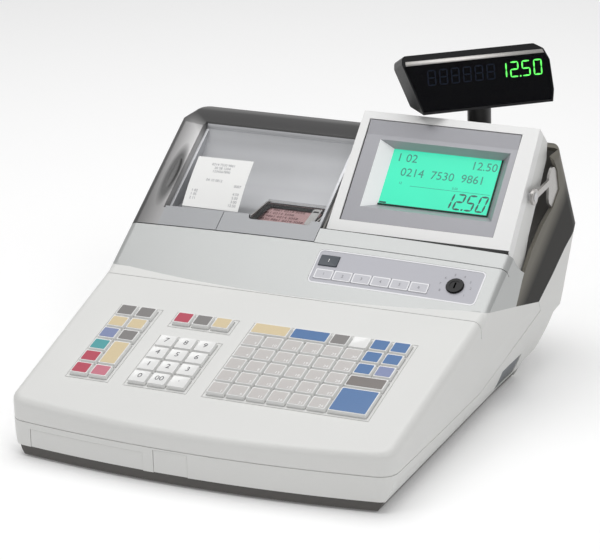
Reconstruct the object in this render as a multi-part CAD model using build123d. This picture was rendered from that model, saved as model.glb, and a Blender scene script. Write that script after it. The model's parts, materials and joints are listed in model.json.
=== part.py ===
from build123d import *
import os
from math import sin, cos, tan, radians, sqrt

os.makedirs("parts", exist_ok=True)

# ---------------------------------------------------------------- casing sizes (mm)
# X runs across the keyboard, Y runs from the clerk to the back, Z is up.
# The drawing frame has the casing underside at Z = 0 and the body centre at X = 0.
FRONT_Y = -226.5         # front of the casing on the centre line
FRONT_BOW = 14.5         # how far the front curves back towards its corners
HALF_W = 188.0           # half width beside the displays
FRONT_TAPER = 6.0        # how much narrower each side is at the front corners
FRONT_HALF_W = HALF_W - FRONT_TAPER
SHOULDER_HALF_W = HALF_W - 2.0  # half width that the bow of the band is measured at
BACK_FLARE_Y = 60.0
CORNER_R = 16.0          # rounding of the two front corners
WALL = 3.5               # moulded wall
RISE = 2.0               # how far the feet lift the casing off the bench

DECK_SLOPE = 15.0        # keyboard slope, degrees
BAND_SLOPE = 32.0        # slope of the silver band and of the printer hood
BAND_Y = -23.0           # where the band rises out of the deck, centre line
BAND_Z = 103.0
BAND_BOW = 4.5           # the band is a shallow arch across the width
BAND_EDGE_R = 8.0        # rounding along the sides of band and hood
DECK_EDGE_R = 8.0        # rounding round the keyboard deck
HULL_TOP = (38.0, 84.0)  # the flanks curve in below this height, at the front and beside the displays
HULL_IN = (12.0, 25.0)   # how far they are drawn in at the underside there
HULL_Y = (FRONT_Y - 10.0, 250.0)
HULL_LAP = 0.5           # the curve starts this far outside the flank, so that the two meet cleanly
REAR_CORNER_R = 32.0     # rounding of the two rear corners, which follows the slopes of the back
ROOF_Z = 203.2
ROOF_R = 100.0           # big radius from the hood slope to the roof
ROOF_BACK_Y = 188.4
ROOF_BACK_R = 16.0
BACK_Y = 231.0           # rearmost line of the casing
BACK_Z = 118.0
UNDERCUT = [(204.0, 73.0), (186.0, 52.0), (158.0, 48.0), (141.0, 16.0), (112.0, 14.0)]
BASE_END_Y = 110.0
BASE_TOP_Z = 8.7         # top of the dark base tray
BASE_INSET = 1.5
SEAM_Z = 31.0            # seam between lower and upper case at the front
SEAM_KNEE_Y = -15.0
SEAM_END_Y = 116.0
SEAM_END_Z = 64.0
LOWER_END_Y = 100.0
WING_Y = 54.0            # where the white flank meets the dark cheek
WING_Z = 90.0
WING_TIP_Y = 110.0
WING_TIP_Z = 75.0
BAND_END_Y = 30.0        # seam between band and printer cover
SEAM_W = 0.8             # width and depth of the shadow line along a seam
SEAM_D = 0.8
CHEEK_EDGE = [(69.0, 110.0), (94.0, 130.0), (121.0, 145.0), (147.0, 154.0), (163.0, 166.0),
              (158.0, 186.0), (146.0, 203.2)]
CHEEK_FOOT = [(144.0, 89.0), (178.0, 105.0), (204.0, 114.0)]
CHEEK_TOE = [(62.0, 170.0), (76.0, 117.0)]  # lower front end of the cheek, beside the display

# ---------------------------------------------------------------- keyboard
PITCH_X = 19.05
PITCH_Y = 17.9
KEY_GAP = 2.2            # between neighbouring caps
KEY_STANDS = 4.0         # cap top above the deck
KEY_SKIRT = 8.0          # cap skirt below the deck surface
KEY_TRAVEL = 2.5
KEY_SPARE = 0.3          # left under a fully pressed key
KEY_SLIP = 0.35          # clearance round a cap in its deck hole
KEY_BEVEL = 1.0
KEY_ROW5_Y = -164.69     # deck line of the front row
BOARD_T = 1.6
MAT_T = 1.0
FRAME_GROOVE = 0.6

# ---------------------------------------------------------------- operator display
PIVOT_Y = 105.0
PIVOT_Z = 176.5
WELL_R = 68.6            # round trough that the display swings in
WELL_GAP = 2.456         # running gap between that trough and the foot of the display
WELL_WALL = 2.4
DISPLAY_X0 = 5.0
DISPLAY_X1 = HALF_W - 5.0
SIDE_GAP = 1.2
FOOT_DROP = 35.2         # foot of the face below the pivot
HEEL_R = WELL_R - WELL_GAP
FACE_FOOT = (PIVOT_Y - sqrt(HEEL_R ** 2 - FOOT_DROP ** 2), PIVOT_Z - FOOT_DROP)
FACE_LEN = 125.5
FACE_SLOPE = 45.0
HEEL_IN = 21.0           # the round of the foot ends this far in front of the pivot
FRAME_T = 12.0           # depth of the white front frame
SHELL_W = 2.5
PIN_R = 4.0
PIN_FIT = 0.06

# ---------------------------------------------------------------- printer
COVER_X1 = 1.5           # right edge of the printer cover
RECESS_X0 = -(HALF_W - 29.0)
RECESS_T = 2.5
LEDGE_END_Y = 50.0
ROLL_R = 34.0
ROLL_W = 57.5
ROLL_CORE_R = 6.0
ROLL_Y = 150.0
ROLL_Z = 97.0
RECEIPT_X = -114.0       # centre of the receipt station
JOURNAL_X = -40.0        # centre of the journal station
PLATEN_R = 7.0
PLATEN_Y = 66.0
PLATEN_Z = 112.0
COVER_HINGE_Z = 156.0
COVER_GAP = 0.9
RIM_R = 9.0              # how the arch rolls down into the recess
ROOF_EDGE_Y = 141.5      # front edge of the roof, above the recess
SCOOP_LIFT = 1.0
STATIC_X0 = 2.1          # where the fixed part beside the cover starts
SLOT_W = 5.0
WINDOW_X = (-72.0, -9.0)
WINDOW_Y = (45.5, 90.0)
WINDOW_R = 4.0
LENS_BACK_Z = 149.5
PLATE_SEAM_X = -98.0
SCOOP = (6.0, 27.0, 6.0)  # finger scoop in the arch: half width, half length and depth
SCOOP_X = RECESS_X0 - 8.0
SCOOP_Y = 83.0
PAPER_T = 0.3
CHASSIS_X = (-162.0, 0.0)
CHASSIS_Y = (42.0, 176.0)
CHASSIS_Z = 57.0
SHEET_T = 1.5
CHEEK_OFF = 34.5
SHAFT_R = 2.5
TAKEUP_Y = 97.0
TAKEUP_Z = 111.0
TAKEUP_R = 14.0

# ---------------------------------------------------------------- customer display
POLE_X = 102.0
POLE_Y = PIVOT_Y + WELL_R + 9.4  # close behind the trough
POLE_R = 11.0
COLLAR_R = 14.0
HEAD_TURN = 40.0
HEAD_LEAN = 25.0
HEAD_Z = 258.0
HEAD_FLOOR = 235.5
HEAD_FRONT = 14.0
HEAD_BACK = 14.0
HEAD_R = 4.0             # rounding of the head's outline
LENS_T = 2.0
LENS_TOP = 14.5
SOCKET_H = 12.0
POLE_FOOT = 125.0
COLLAR_Z = (172.0, 206.5)
COLLAR_CUT_Z = (100.0, 230.0)  # room cut for the collar in the shell and the trough

# ---------------------------------------------------------------- base, covers and control panel
TRAY_T = 2.5
BOARD_Z = 9.0
MAIN_BOARD_X = (-140.0, 40.0)
MAIN_BOARD_Y = (-150.0, 20.0)
PSU_X = (HALF_W - 126.0, HALF_W - 38.0)
PSU_Y = (-40.0, 60.0)
PSU_TOP = 42.0
FOOT_R = 9.0
FOOT_X = HALF_W - 40.0
FOOT_Y = (-190.0, 88.0)
FIX_R = 2.25
FIX_X = HALF_W - 68.0
FIX_Y = (-165.0, 90.0)
SCREW_R = 1.5
SCREW_HEAD_R = 3.2
SCREW_HEAD_T = 1.4
SCREW_X = HALF_W - 34.0
SCREW_Y = (-150.0, -40.0, 70.0)
ACCESS_X = (-(HALF_W - 28.0), -44.0)
ACCESS_Z = (BASE_TOP_Z, 25.5)
ACCESS_GAP = 0.3
ACCESS_SINK = 0.4
BLANK_X = (-34.0, -1.0)
BLANK_Z = (BASE_TOP_Z, 29.5)
SIDE_PANEL_Y = (44.0, 92.0)
SIDE_PANEL_Z = (11.0, 30.0)
SIDE_PANEL_DEEP = 32.0   # how far in from the widest line its opening reaches
GLAND_X = 60.0
GLAND_R = 7.0
GLAND_BORE_R = 3.5
PANEL = (11.0, HALF_W - 16.0, 18.0, 56.5)
PANEL_CORNER_R = 5.0
PANEL_DEPTH = 2.0
PANEL_SINK = 0.4
LOCK_X = HALF_W - 40.0
LOCK_V = 36.2
LOCK_R = 7.7
LOCK_LEN = 24.0
LOCK_STANDS = 1.5
ROTOR_R = 4.8
CLERK_X = (15.0, LOCK_X - 22.5)
CLERK_V = (23.5, 34.0)
FILM_GAP = 1.2           # between neighbouring film keys
CLERK_STANDS = 0.3
FILM_SLIP = 0.3          # clearance round a film key
BUTTON_X = (15.0, 33.0)
BUTTON_V = (38.3, 49.8)
BUTTON_STANDS = 0.6
HOOD_SEAM_V = 62.5
END_T = 1.8
ARM_R = 7.5
ARM_PAD = [(140.0, 184.0), (150.0, 194.0), (170.0, 172.0), (168.0, 156.0), (150.0, 151.0), (138.0, 161.0)]
ARM_PAD_R = 7.0
BEZEL = (DISPLAY_X0 + 9.5, DISPLAY_X1 - 18.5, 13.3, FACE_LEN - 7.5)
BEZEL_SINK = 1.5
BEZEL_T = 2.0
FUNNEL_WALL = 2.0
THROAT = (DISPLAY_X0 + 25.0, DISPLAY_X1 - 25.0, 29.0, FACE_LEN - 27.0)
LCD = (DISPLAY_X0 + 37.4, DISPLAY_X1 - 33.0, 36.7, FACE_LEN - 31.0)
LCD_DEPTH = 10.0
LCD_T = 5.0
LCD_LAP = 3.0            # how far the panel reaches behind the edge of its window
DISPLAY_TAPER = 3.7
DISPLAY_CROWN = (19.26, -11.04)  # from the top of the face to the top of its back, in y and z
DISPLAY_BACK = [(152.0, 197.0), (100.0, 140.0)]  # side outline below that
TAPER_RUN = 60.0         # the sides of the display flare by TAPER_FLARE over this length below its foot
TAPER_FLARE = 0.4

# ---------------------------------------------------------------- helpers
tand = lambda a: tan(radians(a))
sind = lambda a: sin(radians(a))
cosd = lambda a: cos(radians(a))
FAR = 300.0


def deck_z(y):
    return BAND_Z + (y - BAND_Y) * tand(DECK_SLOPE)


def band_z(y):
    return BAND_Z + (y - BAND_Y) * tand(BAND_SLOPE)


def prism(points, x0, x1):
    """Polygon of (y, z) points, extruded from x0 to x1."""
    return extrude(Plane.YZ.offset(x0) * Polygon(*points, align=None), amount=x1 - x0, dir=(1, 0, 0))


def across(points, x0=-FAR, x1=FAR):
    return prism(points, x0, x1)


def rod_x(y, z, r, x0, x1):
    return Plane.YZ.offset(x0) * Pos(y, z, 0) * Cylinder(r, x1 - x0, align=(Align.CENTER, Align.CENTER, Align.MIN))


def block(x0, x1, y0, y1, z0, z1):
    return Pos((x0 + x1) / 2, (y0 + y1) / 2, (z0 + z1) / 2) * Box(x1 - x0, y1 - y0, z1 - z0)


def plan(inset):
    corner_y = FRONT_Y + FRONT_BOW
    front = ThreePointArc((-FRONT_HALF_W, corner_y), (0, FRONT_Y), (FRONT_HALF_W, corner_y))
    right = Polyline((FRONT_HALF_W, corner_y), (HALF_W, BACK_FLARE_Y), (HALF_W, BACK_Y + 20),
                     (-HALF_W, BACK_Y + 20), (-HALF_W, BACK_FLARE_Y), (-FRONT_HALF_W, corner_y))
    face = make_face(front + right)
    corners = face.vertices().sort_by(Axis.Y)[:2]
    face = fillet(corners, CORNER_R)
    if inset:
        face = offset(face, amount=-inset, kind=Kind.INTERSECTION)
    return extrude(face, amount=FAR, dir=(0, 0, 1))


def side_face(inset):
    front = FRONT_Y - 20
    pts = [(front, 0), (front, deck_z(front)), (BAND_Y, BAND_Z)]
    roof_y = BAND_Y + (ROOF_Z - BAND_Z) / tand(BAND_SLOPE)
    pts += [(roof_y, ROOF_Z), (ROOF_BACK_Y, ROOF_Z), (BACK_Y, BACK_Z)]
    pts += UNDERCUT + [(BASE_END_Y, 0)]
    face = Polygon(*pts, align=None)
    low = [v for v in face.vertices() if abs(v.X - roof_y) < 0.01]
    face = fillet(low, ROOF_R)
    high = [v for v in face.vertices() if abs(v.X - ROOF_BACK_Y) < 0.01]
    face = fillet(high, ROOF_BACK_R)
    if inset:
        face = offset(face, amount=-inset, kind=Kind.INTERSECTION)
    return face


def bow(inset):
    """Everything below the band surface: a shallow arch run along the band slope."""
    half = HALF_W - inset
    drop = BAND_BOW * (half / SHOULDER_HALF_W) ** 2
    arc = Bezier((-half, -drop - inset), (0, drop - inset), (half, -drop - inset))
    skirt = Polyline((half, -drop - inset), (half, -FAR), (-half, -FAR), (-half, -drop - inset))
    face = make_face(arc + skirt)
    top = [v for v in face.vertices() if v.Y > -FAR / 2]
    face = fillet(top, BAND_EDGE_R)
    along = Vector(0, cosd(BAND_SLOPE), sind(BAND_SLOPE))
    at = Plane(origin=Vector(0, BAND_Y, BAND_Z) - along * FAR, x_dir=(-1, 0, 0), z_dir=along)
    return extrude(at * face, amount=3 * FAR, dir=along)


def roof_edges(inset):
    half = HALF_W - inset
    face = RectangleRounded(2 * half, 2 * (ROOF_Z - inset), BAND_EDGE_R)
    return extrude(Plane.XZ.offset(FAR) * face, amount=3 * FAR, dir=(0, 1, 0))


def rear_corners(inset):
    """What is cut away to round both rear corners, along the slopes of the back."""
    r = REAR_CORNER_R - inset
    x, y = HALF_W - REAR_CORNER_R, BACK_Y - REAR_CORNER_R
    far_x, far_y = HALF_W + REAR_CORNER_R, BACK_Y + REAR_CORNER_R
    round_part = ThreePointArc((x, y + r), (x + r * cosd(45), y + r * sind(45)), (x + r, y))
    square_part = Polyline((x + r, y), (far_x, y), (far_x, far_y), (x, far_y), (x, y + r))
    face = Pos(0, 0, BACK_Z) * make_face(round_part + square_part)
    up = Vector(0, ROOF_BACK_Y - BACK_Y, ROOF_Z - BACK_Z)
    down = Vector(0, UNDERCUT[0][0] - BACK_Y, UNDERCUT[0][1] - BACK_Z)
    cutters = [extrude(face, amount=1.5 * way.length, dir=way.normalized()) for way in (up, down)]
    return cutters + [mirror(cutter, about=Plane.YZ) for cutter in cutters]


def hull_profile(y, half, top, drawn_in):
    """Cross-section whose sides curve in towards the base like the sides of a boat."""
    wide = half + HULL_LAP
    right = Bezier((wide, top), (wide, top / 2), (half - drawn_in, 0))
    left = Bezier((drawn_in - half, 0), (-wide, top / 2), (-wide, top))
    foot = half - drawn_in
    rest = [Polyline((foot, 0), (foot, -WALL), (-foot, -WALL), (-foot, 0)),
            Polyline((-wide, top), (-wide - WALL, FAR), (wide + WALL, FAR), (wide, top))]
    return Plane.XZ.offset(-y) * make_face([right, left, *rest])


def hull(inset):
    """Room inside the curved flanks: tapering to the front, straight behind."""
    run = (BACK_FLARE_Y - HULL_Y[0]) / (BACK_FLARE_Y - FRONT_Y - FRONT_BOW)
    slide = lambda pair: pair[1] + (pair[0] - pair[1]) * run
    rear = hull_profile(BACK_FLARE_Y, HALF_W - inset, HULL_TOP[1], HULL_IN[1])
    front = hull_profile(HULL_Y[0], slide((FRONT_HALF_W, HALF_W)) - inset, slide(HULL_TOP), slide(HULL_IN))
    return loft([front, rear], ruled=True) + extrude(rear, amount=HULL_Y[1] - BACK_FLARE_Y, dir=(0, 1, 0))


def body(inset):
    """The whole casing as a solid block, drawn in by inset on every face."""
    full = extrude(Plane.YZ.offset(-FAR) * side_face(inset), amount=2 * FAR, dir=(1, 0, 0)) & hull(inset)
    below = across([(-FAR, -FAR), (-FAR, deck_z(-FAR) - inset / cosd(DECK_SLOPE)),
                    (FAR, deck_z(FAR) - inset / cosd(DECK_SLOPE)), (FAR, -FAR)])
    raised = (full & bow(inset) & roof_edges(inset) & plan(inset)) - rear_corners(inset)
    low = full & below & plan(inset) & block(-FAR, FAR, -FAR, BAND_END_Y, -FAR, FAR)
    deck = low.faces().sort_by(Axis((0, 0, 0), (0, -sind(DECK_SLOPE), cosd(DECK_SLOPE))))[-1]
    rim = [edge for edge in deck.edges() if (edge @ 0.5).Y < BAND_END_Y - 0.1]
    return fillet(rim, DECK_EDGE_R - inset / 2) + raised


NODES = {}


def save(name, shape):
    """Keep a finished piece; the pieces are moved to the part's own frame at the end."""
    NODES[name] = shape.solids()


# ---------------------------------------------------------------- casing layers
outer = body(0)
inner = body(WALL)
shell = outer - inner
seam_skin = outer - body(SEAM_D)  # the shadow lines along the seams are cut from this

seam = [(SEAM_KNEE_Y, SEAM_Z), (SEAM_END_Y, SEAM_END_Z)]
over = [(-FAR, SEAM_Z)] + seam + [(WING_TIP_Y, WING_TIP_Z), (WING_Y, WING_Z)]
shoulder = (-11.0, deck_z(-11.0))
upper_region = across(over + [shoulder, (BAND_Y - 1, deck_z(BAND_Y - 1)), (BAND_Y - 1, FAR), (-FAR, FAR)])
lower_region = across([(-FAR, BASE_TOP_Z), (-FAR, SEAM_Z)] + seam[:1]
                      + [(LOWER_END_Y, SEAM_Z + (SEAM_END_Z - SEAM_Z) * (LOWER_END_Y - SEAM_KNEE_Y)
                          / (SEAM_END_Y - SEAM_KNEE_Y)), (LOWER_END_Y, BASE_TOP_Z)])
rear_region = across([(LOWER_END_Y, BASE_TOP_Z), (LOWER_END_Y, SEAM_Z + (SEAM_END_Z - SEAM_Z)
                      * (LOWER_END_Y - SEAM_KNEE_Y) / (SEAM_END_Y - SEAM_KNEE_Y)), seam[1],
                      (WING_TIP_Y, WING_TIP_Z)] + CHEEK_FOOT + [(BACK_Y + 9, BACK_Z), (BACK_Y + 9, -5),
                      (BASE_END_Y, -5), (BASE_END_Y, BASE_TOP_Z)])

band_foot = [(WING_Y, WING_Z), shoulder, (BAND_Y - 1, deck_z(BAND_Y - 1)), (BAND_Y - 1, FAR)]
normal_y = sind(BAND_SLOPE)
normal_z = cosd(BAND_SLOPE)


def off_band(y, depth):
    """Point below the band surface, square to it."""
    return (y + depth * normal_y, band_z(y) - depth * normal_z)


case_seam = across([(-FAR, SEAM_Z), (SEAM_KNEE_Y, SEAM_Z), (SEAM_END_Y, SEAM_END_Z), (WING_TIP_Y, WING_TIP_Z),
                    (WING_TIP_Y - SEAM_W, WING_TIP_Z), (SEAM_END_Y - SEAM_W, SEAM_END_Z + SEAM_W),
                    (SEAM_KNEE_Y, SEAM_Z + SEAM_W), (-FAR, SEAM_Z + SEAM_W)])
band_seam = block(-FAR, FAR, BAND_Y - 1 - SEAM_W, BAND_Y - 1, BAND_Z - 2 * DECK_EDGE_R, FAR)
well = rod_x(PIVOT_Y, PIVOT_Z, WELL_R, STATIC_X0, HALF_W - WALL)
band_left = prism(band_foot + [off_band(BAND_END_Y, -12), off_band(BAND_END_Y, 33)], -FAR, STATIC_X0)
band_right = prism(band_foot + CHEEK_TOE + CHEEK_EDGE[:1], STATIC_X0, FAR)
band_shell = shell & (band_left + band_right)
band_shell = band_shell - rod_x(PIVOT_Y, PIVOT_Z, WELL_R, STATIC_X0, FAR)

back_y = ROOF_BACK_Y + (ROOF_Z - COVER_HINGE_Z) * (BACK_Y - ROOF_BACK_Y) / (ROOF_Z - BACK_Z)
cover_foot = off_band(BAND_END_Y, 16.0)
dark_left = prism([(WING_Y, WING_Z), off_band(BAND_END_Y, 33), cover_foot, (back_y, COVER_HINGE_Z),
                   (BACK_Y + 9, COVER_HINGE_Z), (BACK_Y + 9, BACK_Z)] + CHEEK_FOOT[::-1]
                  + [(WING_TIP_Y, WING_TIP_Z)], -FAR, STATIC_X0)
dark_right = prism([(WING_Y, WING_Z)] + CHEEK_EDGE + [(CHEEK_EDGE[-1][0], FAR), (BACK_Y + 9, FAR),
                   (BACK_Y + 9, BACK_Z)] + CHEEK_FOOT[::-1] + [(WING_TIP_Y, WING_TIP_Z)], STATIC_X0, FAR)
cover_seam = off_band(BAND_END_Y + COVER_GAP, -12)
cover_corner = off_band(BAND_END_Y + COVER_GAP, 16.0 - COVER_GAP)
cover_region = prism([cover_seam, cover_corner, (back_y, COVER_HINGE_Z + COVER_GAP),
                      (BACK_Y + 9, COVER_HINGE_Z + COVER_GAP), (BACK_Y + 9, FAR), (20, FAR)], -FAR, COVER_X1)

# ---------------------------------------------------------------- base tray and what stands on it
deep = plan(BASE_INSET) & hull(BASE_INSET)
tray_floor = across([(-FAR, -5), (-FAR, BASE_TOP_Z), (BASE_END_Y, BASE_TOP_Z), (BASE_END_Y, -5)])
tray_room = across([(-FAR, TRAY_T), (-FAR, BASE_TOP_Z + 5), (BASE_END_Y - TRAY_T, BASE_TOP_Z + 5),
                    (BASE_END_Y - TRAY_T, TRAY_T)])
tray_inside = plan(BASE_INSET + TRAY_T) & hull(BASE_INSET + TRAY_T)
base_tray = (deep & tray_floor) - (tray_inside & tray_room)


def post(x, y, z0, z1, r):
    return Pos(x, y, z0) * Cylinder(r, z1 - z0, align=(Align.CENTER, Align.CENTER, Align.MIN))


board_posts = [post(x, y, TRAY_T, BOARD_Z, 3.5) for x in MAIN_BOARD_X for y in MAIN_BOARD_Y]
chassis_posts = [post(x, y, TRAY_T, CHASSIS_Z, 5.0) for x in (CHASSIS_X[0] + 8, CHASSIS_X[1] - 8)
                 for y in (CHASSIS_Y[0] + 8, BASE_END_Y - 12)]
base_tray = base_tray + board_posts + chassis_posts
fixing_holes = [post(x, y, -1, TRAY_T + 1, FIX_R) for x in (-FIX_X, FIX_X) for y in FIX_Y]
screw_holes = [post(x, y, -1, TRAY_T + 1, SCREW_R) for x in (-SCREW_X, SCREW_X) for y in SCREW_Y]
base_tray = base_tray - fixing_holes - screw_holes
save("base_tray", base_tray)
feet = [post(x, y, -RISE, 0, FOOT_R) for x in (-FOOT_X, FOOT_X) for y in FOOT_Y]
save("rubber_feet", Compound(children=feet))
screws = []
for x in (-SCREW_X, SCREW_X):
    for y in SCREW_Y:
        screws.append(post(x, y, -SCREW_HEAD_T, 0, SCREW_HEAD_R) + post(x, y, 0, TRAY_T + 6, SCREW_R - 0.1))
save("case_screws", Compound(children=screws))
main_board = block(MAIN_BOARD_X[0] - 6, MAIN_BOARD_X[-1] + 6, MAIN_BOARD_Y[0] - 6, MAIN_BOARD_Y[-1] + 6,
                   BOARD_Z, BOARD_Z + BOARD_T)
chips = [block(x - 11, x + 11, y - 11, y + 11, BOARD_Z + BOARD_T, BOARD_Z + BOARD_T + 3)
         for x in (-90, -30) for y in (-110, -60)]
save("main_board", main_board + chips)
save("power_supply", block(*PSU_X, *PSU_Y, TRAY_T, PSU_TOP))

# ---------------------------------------------------------------- lower, upper and rear casing
lower_case = shell & lower_region
cover_box = block(ACCESS_X[0], ACCESS_X[1], -FAR, -190, ACCESS_Z[0], ACCESS_Z[1])
blank_box = block(BLANK_X[0], BLANK_X[1], -FAR, -190, BLANK_Z[0], BLANK_Z[1])
slit = ACCESS_GAP
lower_case = lower_case - [cover_box, blank_box]
front_skin = body(ACCESS_SINK) - inner
inset = lambda span: (span[0] + slit, span[1] - slit)
save("access_cover", front_skin & block(*inset(ACCESS_X), -FAR, -190, *inset(ACCESS_Z)))
save("blank_cover", front_skin & block(*inset(BLANK_X), -FAR, -190, *inset(BLANK_Z)))
side_in = HALF_W - SIDE_PANEL_DEEP
side_box = block(side_in, FAR, *SIDE_PANEL_Y, *SIDE_PANEL_Z)
lower_case = lower_case - side_box
save("lower_case", lower_case)
side_skin = body(1.0) - inner
save("side_panel", side_skin & block(side_in, FAR, *inset(SIDE_PANEL_Y), *inset(SIDE_PANEL_Z)))

rear_housing = shell & rear_region
gland_dir = Plane(origin=(GLAND_X, (UNDERCUT[2][0] + UNDERCUT[3][0]) / 2,
                          (UNDERCUT[2][1] + UNDERCUT[3][1]) / 2), x_dir=(1, 0, 0),
                  z_dir=(0, UNDERCUT[2][1] - UNDERCUT[3][1], UNDERCUT[3][0] - UNDERCUT[2][0]))
gland_hole = gland_dir * Cylinder(GLAND_R, 30)
rear_housing = rear_housing - gland_hole
gland = gland_dir * (Cylinder(GLAND_R - 0.2, 2 * WALL) + Pos(0, 0, WALL - 1) * Cylinder(GLAND_R + 2.5, 2)
                     - Cylinder(GLAND_BORE_R, 40))
gland = gland - rear_housing
save("cord_gland", gland)
save("rear_housing", rear_housing)

# ---------------------------------------------------------------- keyboard deck
DECK = Plane(origin=(0, KEY_ROW5_Y, deck_z(KEY_ROW5_Y)), x_dir=(1, 0, 0),
             z_dir=(0, -sind(DECK_SLOPE), cosd(DECK_SLOPE)))


def key_spot(col, row, cols=1, rows=1):
    return ((col + (cols - 1) / 2 - 7) * PITCH_X, (5 - row - (rows - 1) / 2) * PITCH_Y,
            cols * PITCH_X - KEY_GAP, rows * PITCH_Y - KEY_GAP)


def key_cap(col, row, cols=1, rows=1):
    x, y, w, h = key_spot(col, row, cols, rows)
    cap = Pos(x, y, (KEY_STANDS - KEY_SKIRT) / 2) * Box(w, h, KEY_STANDS + KEY_SKIRT)
    return DECK * chamfer(cap.faces().sort_by(Axis.Z)[-1].edges(), KEY_BEVEL)


def key_hole(col, row, cols=1, rows=1):
    x, y, w, h = key_spot(col, row, cols, rows)
    return DECK * Pos(x, y, -WALL) * Box(w + 2 * KEY_SLIP, h + 2 * KEY_SLIP, 6 * WALL)


ten_rows = {"keys_7_8_9": 2, "keys_4_5_6": 3, "keys_1_2_3": 4, "keys_0_00_point": 5}
KEYS = {name: [(col, row) for col in (3, 4, 5)] for name, row in ten_rows.items()}
KEYS["function_keys"] = [(col, row) for row in (0, 1, 2, 5) for col in (0, 1)] + [(0, 3), (0, 4)]
KEYS["feed_key"] = [(1, 3, 1, 2)]
KEYS["sign_keys"] = [(3, 0), (4, 0), (5, 0)]
KEYS["wide_keys"] = [(7, 0, 2, 1), (9, 0, 2, 1)]
KEYS["item_keys"] = [(col, row) for row in range(1, 6) for col in range(7, 13)] + [(11, 0), (12, 0)]
KEYS["side_keys"] = [(col, row) for row in range(3) for col in (13, 14)]
KEYS["subtotal_key"] = [(13, 3, 2, 1)]
KEYS["total_key"] = [(13, 4, 2, 2)]

holes = [key_hole(*spot) for spots in KEYS.values() for spot in spots]
KEY_FIELDS = [(0, 0, 2, 6), (3, 0, 3, 1), (3, 2, 3, 4), (7, 0, 8, 6)]
grooves = []
for field in KEY_FIELDS:
    x, y, w, h = key_spot(*field)
    ring = Box(w + 7, h + 7, FRAME_GROOVE) - Box(w + 5.4, h + 5.4, 2 * FRAME_GROOVE)
    grooves.append(DECK * Pos(x, y, -FRAME_GROOVE / 2) * ring)
board_top = -(KEY_SKIRT + KEY_TRAVEL + KEY_SPARE + MAT_T)
bx, by, bw, bh = key_spot(0, 0, 15, 6)
corner_posts = []
for px in (-bw / 2 - 7, 0, bw / 2 + 7):
    for py in (by - bh / 2 - 7, by + bh / 2 + 7):
        boss = Cylinder(3, -board_top - WALL, align=(Align.CENTER, Align.CENTER, Align.MIN))
        corner_posts.append(DECK * Pos(px, py, board_top) * boss)
upper_case = (shell & upper_region) - holes - grooves + corner_posts
upper_case = upper_case - (seam_skin & case_seam) - (seam_skin & band_seam)
save("upper_case", upper_case)
mat = Pos(bx, by, board_top + MAT_T / 2) * Box(bw + 4, bh + 4, MAT_T)
key_board = Pos(bx, by, board_top - BOARD_T / 2) * Box(bw + 24, bh + 24, BOARD_T)
save("key_board", DECK * (mat + key_board))
for name, spots in KEYS.items():
    save(name, Compound(children=[key_cap(*spot) for spot in spots]))

# ---------------------------------------------------------------- silver band and its controls
BAND = Plane(origin=(0, BAND_Y, BAND_Z), x_dir=(1, 0, 0), z_dir=(0, -sind(BAND_SLOPE), cosd(BAND_SLOPE)))


def band_drop(x):
    return -BAND_BOW * (x / SHOULDER_HALF_W) ** 2


def panel_outline(grow):
    x0, x1, y0, y1 = PANEL
    cx, cy = (x0 + x1) / 2, (y0 + y1) / 2
    rounded = RectangleRounded(x1 - x0 + 2 * grow, y1 - y0 + 2 * grow, PANEL_CORNER_R + grow)
    return BAND * Pos(cx, cy, 0) * extrude(rounded, 20, both=True)


lock_at = BAND * Pos(LOCK_X, LOCK_V, band_drop(LOCK_X))
panel_floor = body(PANEL_DEPTH)
pocket = panel_outline(0) - panel_floor
clerk_w = (CLERK_X[1] - CLERK_X[0]) / 6
clerk_spots = [CLERK_X[0] + clerk_w * (i + 0.5) for i in range(6)]


def band_button(x, v, w, h, slip, top, low):
    return BAND * Pos(x, v, band_drop(x) + (top + low) / 2) * Box(w + 2 * slip, h + 2 * slip, top - low)


clerk_v = (CLERK_V[0] + CLERK_V[1]) / 2
clerk_h = CLERK_V[1] - CLERK_V[0]
button_v = (BUTTON_V[0] + BUTTON_V[1]) / 2
button_x = (BUTTON_X[0] + BUTTON_X[1]) / 2
button_size = (BUTTON_X[1] - BUTTON_X[0], BUTTON_V[1] - BUTTON_V[0])
clerk_holes = [band_button(x, clerk_v, clerk_w - FILM_GAP, clerk_h, FILM_SLIP, 8, -8) for x in clerk_spots]
button_hole = band_button(button_x, button_v, *button_size, FILM_SLIP, 8, -8)
lock_hole = lock_at * Cylinder(LOCK_R + 0.15, 20)
groove_box = BAND * Pos(STATIC_X0 + FAR, HOOD_SEAM_V, 0) * Box(2 * FAR, SEAM_W, FAR / 10)
hood_groove = seam_skin & groove_box
band_panel = band_shell - pocket - clerk_holes - button_hole - lock_hole - hood_groove
save("band_panel", band_panel)
panel = (body(PANEL_SINK) - panel_floor) & panel_outline(-0.15)
save("control_panel", panel - clerk_holes - button_hole - lock_hole)
clerk_caps = [band_button(x, clerk_v, clerk_w - FILM_GAP, clerk_h, 0, CLERK_STANDS, -7) for x in clerk_spots]
save("clerk_keys", Compound(children=clerk_caps))
save("receipt_key", band_button(button_x, button_v, *button_size, 0, BUTTON_STANDS, -7))
barrel = Cylinder(LOCK_R, LOCK_LEN, align=(Align.CENTER, Align.CENTER, Align.MAX))
rotor_room = Cylinder(ROTOR_R + PIN_FIT, LOCK_LEN - 3, align=(Align.CENTER, Align.CENTER, Align.MAX))
save("key_barrel", lock_at * Pos(0, 0, LOCK_STANDS) * (barrel - rotor_room))
rotor = Cylinder(ROTOR_R, LOCK_LEN - 3.6, align=(Align.CENTER, Align.CENTER, Align.MAX))
slot = Box(1.6, 6.5, 12)
save("key_rotor", lock_at * Pos(0, 0, LOCK_STANDS - 0.4) * (rotor - slot))

# ---------------------------------------------------------------- rear shell, well and display bracket
hinge_pin_r = 1.5
barrel_r = 3.2


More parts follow.
